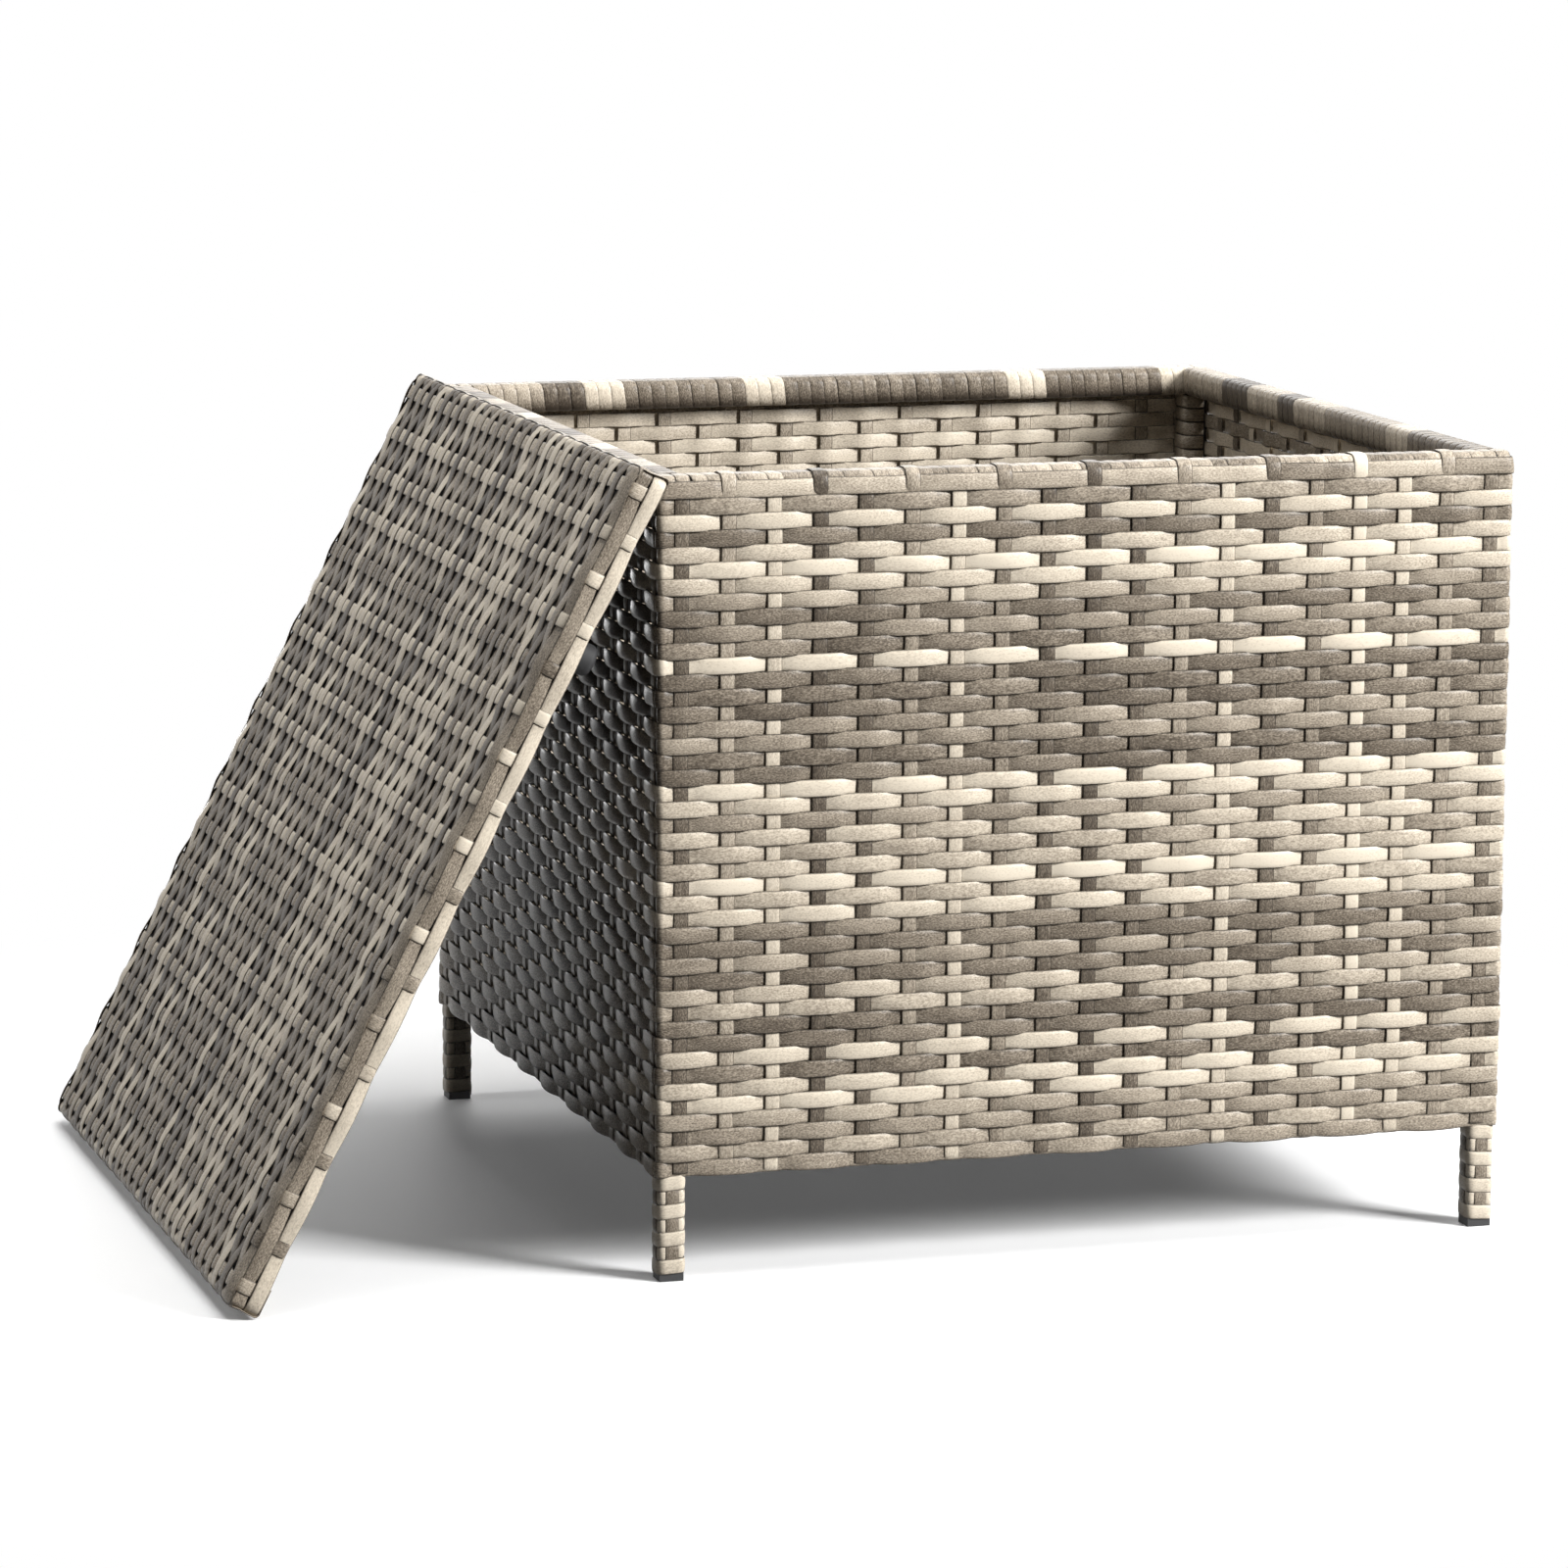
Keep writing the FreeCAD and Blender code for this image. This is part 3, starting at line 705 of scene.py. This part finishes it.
def leg_turn(sx, sy):
    """One closed turn round a leg, from the corner that faces the middle of the box."""
    flat = LEG_HALF - LEG_RADIUS
    face = np.linspace(-flat, flat, 9) - 1j * LEG_HALF
    corner = flat * (1 - 1j) - 1j * LEG_RADIUS * np.exp(1j * np.radians((18, 36, 54, 72)))
    side = np.concatenate([face, corner])
    turn = np.concatenate([side, 1j * side, -side, -1j * side])
    turn = np.roll(turn, -np.argmax(-sx * turn.real - sy * turn.imag))
    turn = np.append(turn, turn[0])
    return np.column_stack([turn.real, turn.imag])


def wind_leg(strips, sx, sy):
    """A leg's winding: sloping rings of pale strip, every second one under a dark strip down each face."""
    axis = np.array([sx, sy]) * (HALF - LEG_AXIS_IN)
    pitch = (WALL_FOOT - LEG_FOOT) / LEG_ROWS
    turn = leg_turn(sx, sy)
    on_strip = smooth(6.0, 3.8, np.min(np.abs(turn), axis=1))
    share = np.linspace(-0.5, 0.5, len(turn))
    for row in range(LEG_ROWS):
        over = row % 2 == 0
        stand = LEG_RING_OUT + LEG_RING_BUMP * on_strip if over else -LEG_RING_BUMP * on_strip
        flat = axis + turn * (1 + stand / LEG_HALF)[:, None]
        climb = -sx * rng.uniform(*LEG_RING_CLIMB) * share
        z = WALL_FOOT - (row + 0.5) * pitch + climb + rng.uniform(-0.25, 0.25)
        half = pitch / 2 + (LEG_WIDER_OVER if over else LEG_WIDER_UNDER)
        strips.add(with_z(flat, z), UP, half, LEG_RING_THICK, rng.uniform(*LEG_RING_TONES))
    for fx, fy in ((1, 0), (-1, 0), (0, 1), (0, -1)):
        rise = np.arange(LEG_FOOT + 0.5, WALL_FOOT, 1.0)
        row_at = (WALL_FOOT - rise) / pitch - 0.5
        stand = LEG_HALF + lift(-np.cos(np.pi * row_at), LEG_STRIP_OUT, LEG_STRIP_IN)
        flat = axis + np.array([fx, fy]) * stand[:, None]
        tone = rng.uniform(*LEG_STRIP_TONES)
        strips.add(with_z(flat, rise), (fy, -fx, 0), LEG_STRIP_HALF, LEG_STRIP_THICK, tone)


LASH_ROWS, LASH_TOP, LASH_PITCH = 5, 472.0, 9.6
LASH_HALF, LASH_THICK, LASH_TONES = 4.75, 2.6, (0.25, 0.5)
LASH_INNER, LASH_MIDDLE, LASH_OUTER, LASH_BEND = 256.2, 264.0, 271.0, 3.0
POST_STRIP_FOOT, POST_STRIP_HALF, POST_STRIP_THICK, POST_STRIP_TONE = 84.5, 3.2, 1.1, 0.45


def lash_corner(strips, sx, sy):
    """Strip bound round the two inner faces of a post under the rim, and one strip down its edge."""
    inner, bend = LASH_INNER, LASH_BEND
    arc = np.radians(np.linspace(0, 90, 6))
    path = [(LASH_OUTER, inner), (LASH_MIDDLE, inner)]
    path += [(inner + bend - bend * math.sin(a), inner + bend - bend * math.cos(a)) for a in arc]
    path += [(inner, LASH_MIDDLE), (inner, LASH_OUTER)]
    path = np.array(path) * (sx, sy)
    for row in range(LASH_ROWS):
        z = LASH_TOP - (row + 0.5) * LASH_PITCH + np.linspace(-1, 1, len(path)) * rng.uniform(0.3, 0.9)
        swell = unit(-path) * rng.uniform(0.2, 1.2)
        strips.add(with_z(path + swell, z), UP, LASH_HALF, LASH_THICK, rng.uniform(*LASH_TONES))
    rise = np.linspace(POST_STRIP_FOOT, LASH_TOP - LASH_ROWS * LASH_PITCH + 3, 60)
    flat = np.array([sx, sy]) * (inner + 0.1) + np.array([sx, -sy]) * wander(rise, 120, 0.5)[:, None]
    tones = POST_STRIP_TONE + wander(rise, 80, 0.05)
    strips.add(with_z(flat, rise), (sx, -sy, 0), POST_STRIP_HALF, POST_STRIP_THICK, tones)


rows = {wall: Strips() for wall in WALLS}
uprights = {wall: Strips() for wall in WALLS}
weave_rows(rows)
weave_stakes(uprights)
for wall in WALLS:
    rows[wall].build(f"wall_{wall}_rows", "table", box_to_frame, strip_material, f"wall_weave_{wall}")
    uprights[wall].build(f"wall_{wall}_stakes", "table", box_to_frame, strip_material)
    rim = Strips()
    wind_rim(rim, wall)
    rim.build(f"rim_{wall}_winding", "table", box_to_frame, strip_material, f"rim_wrap_{wall}")
for corner, sx, sy in (
    ("front_left", -1, -1), ("front_right", 1, -1), ("back_left", -1, 1), ("back_right", 1, 1),
):
    leg = Strips()
    wind_leg(leg, sx, sy)
    leg.build(f"leg_{corner}_winding", "table", box_to_frame, strip_material, f"leg_wrap_{corner}")
    lashing = Strips()
    lash_corner(lashing, sx, sy)
    lashing.build(
        f"corner_{corner}_binding", "table", box_to_frame, strip_material, f"corner_lashing_{corner}")


# The lid. Weavers run up its length and stakes across it; both turn down over two strips round its edge.

LID_WEAVER_PITCH = 2 * LID_HALF_Y / LID_WEAVERS
weaver_y = LID_HALF_Y - (np.arange(LID_WEAVERS) + 0.5) * LID_WEAVER_PITCH
lid_stake_x = np.linspace(FIRST_STAKE, LID_LENGTH - FIRST_STAKE, LID_STAKES)
LID_FLOAT_OUT, LID_FLOAT_IN = 1.9, 1.0
# The last number sets how dark a weaver's edges are painted, as shade in the gaps between strips.
LID_WEAVER_HALF, LID_WEAVER_THICK, LID_WEAVER_EDGE_SHADE = 5.25, 1.3, 4.7
LID_WEAVER_STEP, LID_STAKE_STEP = 2.9, 1.4
# Where a float's flanks start and end, from the stake it passes over, and how rounded they are.
LID_RAMP, EDGE_RAMP = (2.0, 23.0, 5.0), (4.0, 25.0, 3.0)
# The first and the last weaver lean over the lid's edge and lie lower.
EDGE_LEAN, EDGE_DROP = 0.32, 0.9
LID_STAKE_LEVEL, LID_STAKE_SWING, LID_STAKE_THICK = 0.4, 1.35, 1.15
# A stake is painted darker where it dives under a weaver, as shade in the crevice, and the power makes its
# flanks steeper.
LID_STAKE_SHADE, LID_STAKE_POWER = 0.6, 0.8
lid_stake_places = np.concatenate([[lid_stake_x[0] - STAKE_GAP], lid_stake_x, [lid_stake_x[-1] + STAKE_GAP]])
lid_stake_numbers = np.arange(-1, LID_STAKES + 1)
# The two strips round the edge, as (height, tone).
EDGE_ROWS = ((14.7, 0.22), (5.3, 0.84))
EDGE_HALF, EDGE_RADIUS = 4.75, 5.5
EDGE_OUT, EDGE_IN = 1.3, 0.9
WEAVER_EDGE_OUT, STAKE_EDGE_OUT = 0.45, 0.75
HEM_Z, HEM_REACH = 1.3, 16.0
TURN_RADIUS, HEM_RADIUS = 4.0, 2.0
# A dark sheet under the lid's weave stands in for the shade seen through its gaps.
SHADE_SHEET_LOW, SHADE_SHEET_HIGH, SHADE_SHEET_IN, SHADE_SHEET_RADIUS = 18.45, 18.8, 5, 6
# Weavers from the back, and the tones that they are drawn from.
PALE_WEAVERS = (1, 8, 9, 13, 15, 18, 27, 32, 33, 36, 38, 39, 40, 41, 49, 50)
DARK_WEAVERS = (3, 5, 6, 10, 11, 19, 28, 29, 31, 42, 51, 52)
PALE_TONES, DARK_TONES, OTHER_TONES = (0.76, 0.95), (-0.18, 0.0), (0.08, 0.36)
# Stakes from the foot of the lid.
LID_STAKE_TONES = (0.45, 0.2, 0.4, 0.2, 0.6, 0.6, 0.3, 0.35, 0.95, 0.25, 1.0, 1.0, 1.0, 1.0, 0.1,
                   1.0, 0.95, 0.95, 0.6)


def turned_end(face, inner, top):
    """A strip's line over an edge, as (place, z): down the face and under the hem.

    inner is the sign of the way to the lid's middle.
    """
    down = np.radians(np.linspace(90, 0, 7))
    line = [(face + inner * (TURN_RADIUS - TURN_RADIUS * math.cos(a)),
             top - TURN_RADIUS + TURN_RADIUS * math.sin(a)) for a in down]
    line += [(face, z) for z in np.linspace(top - TURN_RADIUS - 1.2, HEM_Z + HEM_RADIUS + 0.6, 9)]
    under = np.radians(np.linspace(0, 90, 5))
    line += [(face + inner * (HEM_RADIUS - HEM_RADIUS * math.cos(a)),
              HEM_Z + HEM_RADIUS - HEM_RADIUS * math.sin(a)) for a in under]
    line += [(face + inner * (HEM_RADIUS + reach), HEM_Z) for reach in (4, 9, HEM_REACH)]
    return np.array(line)


def edge_offset(line, over_upper, over_lower, amount):
    """How far a turned-down strip stands out where it crosses the two strips round the edge."""
    on_face = (line[:, 1] > HEM_Z + 1) & (line[:, 1] < LID_MID_Z - 2)
    upper = np.exp(-(((line[:, 1] - EDGE_ROWS[0][0]) / 3.2) ** 2)) * (1 if over_upper else -1)
    lower = np.exp(-(((line[:, 1] - EDGE_ROWS[1][0]) / 3.2) ** 2)) * (1 if over_lower else -1)
    return np.where(on_face, amount * (upper + lower), 0)


def lid_line(low_face, high_face, step):
    """A strip's line across the lid: its low end, its places along the top, and its high end."""
    low = turned_end(low_face, 1, LID_MID_Z)
    high = turned_end(high_face, -1, LID_MID_Z)
    first, last = low[0, 0], high[0, 0]
    top = np.linspace(first, last, max(2, round((last - first) / step)))[1:-1]
    return low, top, high


def weave_lid_weavers(halves):
    """The strips along the lid, in a back and a front half."""
    low, top, high = lid_line(LID_END_MID, LID_LENGTH - LID_END_MID, LID_WEAVER_STEP)
    for number, y in enumerate(weaver_y):
        edge = number in (0, LID_WEAVERS - 1)
        away, _ = crossing(top, lid_stake_places, lid_stake_numbers, number)
        rise = ramp_rise(away, *LID_RAMP)
        fade = smooth(1, 9, top) * smooth(1, 9, LID_LENGTH - top)
        stand = bulge(rise, LID_FLOAT_OUT, LID_FLOAT_IN) * (1 + wander(top, 70, 0.06)) * fade
        over = number % 3 == 1
        low_out = edge_offset(low, over, not over, WEAVER_EDGE_OUT)
        high_out = edge_offset(high, over, not over, WEAVER_EDGE_OUT)
        x = np.concatenate([low[::-1, 0] - low_out[::-1], top, high[:, 0] + high_out])
        z = np.concatenate([low[::-1, 1], LID_MID_Z + stand, high[:, 1]])
        drift = wander(x, 120, 0.22)
        lean = math.copysign(EDGE_LEAN, y) if edge else 0
        tilt = wander(x, 50, 0.03) - lean
        if edge:
            z = z - np.where(z > LID_MID_Z - 2.5, EDGE_DROP, 0)
        centre = np.column_stack([x, y + drift, z])
        side = np.column_stack([np.zeros(len(x)), np.ones(len(x)), tilt])
        narrow = np.concatenate([np.full(len(low), 0.5), (1 - rise) ** 3, np.full(len(high), 0.5)])
        half = LID_WEAVER_HALF - 0.2 * narrow + wander(x, 60, 0.06)
        if number in PALE_WEAVERS:
            tone = rng.uniform(*PALE_TONES)
        elif number in DARK_WEAVERS:
            tone = rng.uniform(*DARK_TONES)
        else:
            tone = rng.uniform(*OTHER_TONES)
        tones = tone + wander(x, 190, 0.07) + wander(x, 60, 0.03)
        strips = halves[2 * number // LID_WEAVERS]
        strips.add(centre, side, half, LID_WEAVER_THICK, tones, LID_WEAVER_EDGE_SHADE)


def weave_lid_stakes(strips):
    """The strips across the lid."""
    low, top, high = lid_line(-LID_SIDE_MID, LID_SIDE_MID, LID_STAKE_STEP)
    crossed = (LID_HALF_Y - top) / LID_WEAVER_PITCH - 0.5
    for number, x in enumerate(lid_stake_x):
        swing = np.cos(np.pi * (crossed + number))
        dive = np.sign(swing) * np.abs(swing) ** LID_STAKE_POWER
        stand = LID_STAKE_LEVEL - LID_STAKE_SWING * dive
        stand *= smooth(1, 12, LID_SIDE_MID - np.abs(top))
        over_upper = number % 2 == 0
        low_out = edge_offset(low, over_upper, not over_upper, STAKE_EDGE_OUT)
        high_out = edge_offset(high, over_upper, not over_upper, STAKE_EDGE_OUT)
        y = np.concatenate([low[::-1, 0] - low_out[::-1], top, high[:, 0] + high_out])
        z = np.concatenate([low[::-1, 1], LID_MID_Z + stand, high[:, 1]])
        drift = wander(y, 160, 0.3)
        tone = LID_STAKE_TONES[number] + rng.uniform(-0.05, 0.05)
        centre = np.column_stack([x + drift, y, z])
        half = STAKE_HALF + wander(y, 60, 0.08)
        tones = tone + wander(y, 120, 0.04)
        # Painted shade: a stake is darker in the crevices where it dives under a weaver.
        tones[len(low):-len(high)] -= LID_STAKE_SHADE * smooth(-0.55, 0.35, dive)
        strips.add(centre, (-1, 0, 0), half, LID_STAKE_THICK, tones)


def weave_lid_edge(strips):
    """The two strips round the lid's edge, woven with the stakes on its sides and the weavers at its ends."""
    half_x, half_y = LID_LENGTH / 2 - LID_END_MID, LID_SIDE_MID
    points, normals, along, _ = ring(half_x, half_y, EDGE_RADIUS, RING_STEP, RING_ARC_STEPS)
    x = points[:, 0] + LID_LENGTH / 2
    on_side = np.abs(normals[:, 1]) > 0.999
    on_end = np.abs(normals[:, 0]) > 0.999
    weaver_at = (LID_HALF_Y - points[:, 1]) / LID_WEAVER_PITCH - 0.5
    for number, (height, tone) in enumerate(EDGE_ROWS):
        away, _ = crossing(x, lid_stake_places, lid_stake_numbers, number + 1)
        rise = ramp_rise(away, *EDGE_RAMP)
        side_stand = bulge(rise, EDGE_OUT, EDGE_IN)
        third = np.cos(2 * np.pi * (weaver_at - 1) / 3)
        dip = smooth(0.35, 0.9, third) if number == 0 else 1 - smooth(0.35, 0.9, third)
        end_stand = 0.4 - 0.85 * dip
        stand = np.where(on_side, side_stand, np.where(on_end, end_stand, 0.2))
        for _ in range(2):
            stand[1:-1] = (stand[:-2] + 2 * stand[1:-1] + stand[2:]) / 4
        flat = points + normals * stand[:, None] + np.array([LID_LENGTH / 2, 0])
        z = height + wander(along, 120, 0.15, along[-1])
        half = EDGE_HALF - np.where(on_side, 0.5 * (1 - rise) ** 3, 0)
        tones = tone + wander(along, 130, 0.06, along[-1])
        strips.add(with_z(flat, z), UP, half, STRIP_THICK, tones)


def make_lid_shade_sheet():
    """A dark sheet under the lid's weave, with rounded corners, standing in for the shade seen through its
    gaps.
    """
    points, _, _, _ = ring(LID_LENGTH / 2 - SHADE_SHEET_IN, LID_HALF_Y - SHADE_SHEET_IN, SHADE_SHEET_RADIUS, 60, 5)
    outline = points[:-1] + np.array([LID_LENGTH / 2, 0])
    count = len(outline)
    corners = np.vstack([with_z(outline, SHADE_SHEET_LOW), with_z(outline, SHADE_SHEET_HIGH)])
    order = list(range(count))
    faces = [order[::-1], [count + n for n in order]]
    faces += [[n, (n + 1) % count, count + (n + 1) % count, count + n] for n in order]
    mesh = bpy.data.meshes.new("lid_shade_sheet")
    mesh.from_pydata((lid_to_frame(corners) * MM).tolist(), [], faces)
    mesh.materials.append(make_plain_material("lid_shade_sheet", *LID_SHADE_SHEET_LOOK))
    piece = add_object("lid_shade_sheet", mesh)
    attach(piece, "lid")


lid_weavers, lid_stakes, lid_edge = (Strips(), Strips()), Strips(), Strips()
make_lid_shade_sheet()
weave_lid_weavers(lid_weavers)
weave_lid_stakes(lid_stakes)
weave_lid_edge(lid_edge)
for place, half in zip(("back", "front"), lid_weavers):
    half.build(f"lid_weavers_{place}", "lid", lid_to_frame, strip_material, "lid_top_weave")
lid_stakes.build("lid_stakes", "lid", lid_to_frame, strip_material)
lid_edge.build(
    "lid_edge_strips", "lid", lid_to_frame, strip_material,
    "lid_edge_band_front", "lid_edge_band_back", "lid_edge_band_lower", "lid_edge_band_upper",
)


# Camera, floor and light.

# These are in metres, in the frame.
SENSOR_WIDTH, LENS = 36, 144.2
CAMERA_PLACE = (-1.1483, -3.8234, 0.9338)
CAMERA_RIGHT, CAMERA_FORWARD = (0.95659, -0.29138, 0.00589), (0.28823, 0.94287, -0.1671)
FLOOR_HALF = 9.0
# The floor fades from its own look to plain white between these distances from the origin.
FADE_START, FADE_END = 0.5, 0.95
FLOOR_GLOW, WORLD_LIGHT = 0.075, 0.03
# Name, place, target, width, height and power of each lamp.
LAMPS = (
    ("key", (3.0, -2.9, 2.2), (0.15, 0, 0.25), 1.3, 1.8, 395),
    ("top", (0.1, -0.3, 3.2), (0.1, 0, 0), 2.0, 2.0, 84),
    ("left", (-3.0, 0.3, 2.3), (-0.3, 0, 0.25), 1.4, 1.4, 23),
    ("back", (-0.21, 2.4, 0.15), (-0.21, 0, 0.2), 0.12, 0.24, 3.5),
    ("behind", (1.2, 3.2, 2.2), (0.13, 0, 0.3), 2.0, 1.6, 40),
)


def make_camera():
    data = bpy.data.cameras.new("camera")
    data.sensor_width = SENSOR_WIDTH
    data.lens = LENS
    data.clip_start, data.clip_end = 0.1, 100
    camera = add_object("camera", data)
    forward = Vector(CAMERA_FORWARD).normalized()
    upward = Vector(CAMERA_RIGHT).cross(forward).normalized()
    right = forward.cross(upward)
    turn = Matrix((right, upward, -forward)).transposed()
    camera.matrix_world = Matrix.Translation(CAMERA_PLACE) @ turn.to_4x4()
    scene.camera = camera


def make_floor():
    """A white floor that keeps the shadow and fades into the white background.

    It is grey for light that bounces off it, so that it doesn't fill the object's shadows.
    """
    mesh = bpy.data.meshes.new("studio_floor")
    corners = [(sx * FLOOR_HALF, sy * FLOOR_HALF, 0) for sx, sy in ((-1, -1), (1, -1), (1, 1), (-1, 1))]
    mesh.from_pydata(corners, [], [(0, 1, 2, 3)])
    floor = add_object("studio_floor", mesh)
    material, tree, shader = new_material("studio_floor")
    place = add_node(tree, "ShaderNodeTexCoord").outputs["Object"]
    mottle = noise(tree, place, 3.0, 3.0)
    pale = ramp(tree, mottle, [(0.3, (0.92, 0.92, 0.92)), (0.7, (0.95, 0.95, 0.95))])
    tree.links.new(pale, shader.inputs["Base Color"])
    shader.inputs["Roughness"].default_value = 0.55
    shader.inputs["Specular IOR Level"].default_value = 0.2
    grey = add_node(tree, "ShaderNodeBsdfDiffuse")
    grey.inputs["Color"].default_value = (0.1, 0.1, 0.1, 1)
    white = add_node(tree, "ShaderNodeEmission")
    white.inputs["Strength"].default_value = 1.0
    distance = add_node(tree, "ShaderNodeVectorMath", operation="LENGTH")
    tree.links.new(place, distance.inputs[0])
    far = smooth_range(tree, distance.outputs["Value"], FADE_START, FADE_END)
    shown = seen_directly(tree)
    share = math_node(tree, "MULTIPLY", far, shown)
    bounce = add_node(tree, "ShaderNodeMixShader")
    tree.links.new(shown, bounce.inputs["Fac"])
    tree.links.new(grey.outputs["BSDF"], bounce.inputs[1])
    tree.links.new(shader.outputs["BSDF"], bounce.inputs[2])
    glow = math_node(tree, "MULTIPLY", shown, FLOOR_GLOW)
    tree.links.new(glow, shader.inputs["Emission Strength"])
    shader.inputs["Emission Color"].default_value = (1, 1, 1, 1)
    mix = add_node(tree, "ShaderNodeMixShader")
    tree.links.new(share, mix.inputs["Fac"])
    tree.links.new(bounce.outputs["Shader"], mix.inputs[1])
    tree.links.new(white.outputs["Emission"], mix.inputs[2])
    tree.links.new(mix.outputs["Shader"], tree.nodes["Material Output"].inputs["Surface"])
    mesh.materials.append(material)


def make_world():
    """A dim surround, which the camera and reflections see as white."""
    world = bpy.data.worlds.new("studio")
    scene.world = world
    world.use_nodes = True
    tree = world.node_tree
    tree.nodes.clear()
    output = add_node(tree, "ShaderNodeOutputWorld")
    lit = add_node(tree, "ShaderNodeBackground")
    lit.inputs["Strength"].default_value = WORLD_LIGHT
    white = add_node(tree, "ShaderNodeBackground")
    white.inputs["Strength"].default_value = 1.0
    for node in (lit, white):
        node.inputs["Color"].default_value = (1, 1, 1, 1)
    mix = add_node(tree, "ShaderNodeMixShader")
    tree.links.new(seen_directly(tree), mix.inputs["Fac"])
    tree.links.new(lit.outputs["Background"], mix.inputs[1])
    tree.links.new(white.outputs["Background"], mix.inputs[2])
    tree.links.new(mix.outputs["Shader"], output.inputs["Surface"])


def make_light(name, place, target, width, height, power):
    data = bpy.data.lights.new(name, "AREA")
    data.shape = "RECTANGLE"
    data.size = width
    data.size_y = height
    data.energy = power
    light = add_object(name, data)
    light.location = place
    light.rotation_euler = (Vector(target) - Vector(place)).to_track_quat("-Z", "Y").to_euler()


make_camera()
make_floor()
make_world()
for lamp in LAMPS:
    make_light(*lamp)
scene.view_settings.view_transform = "Standard"
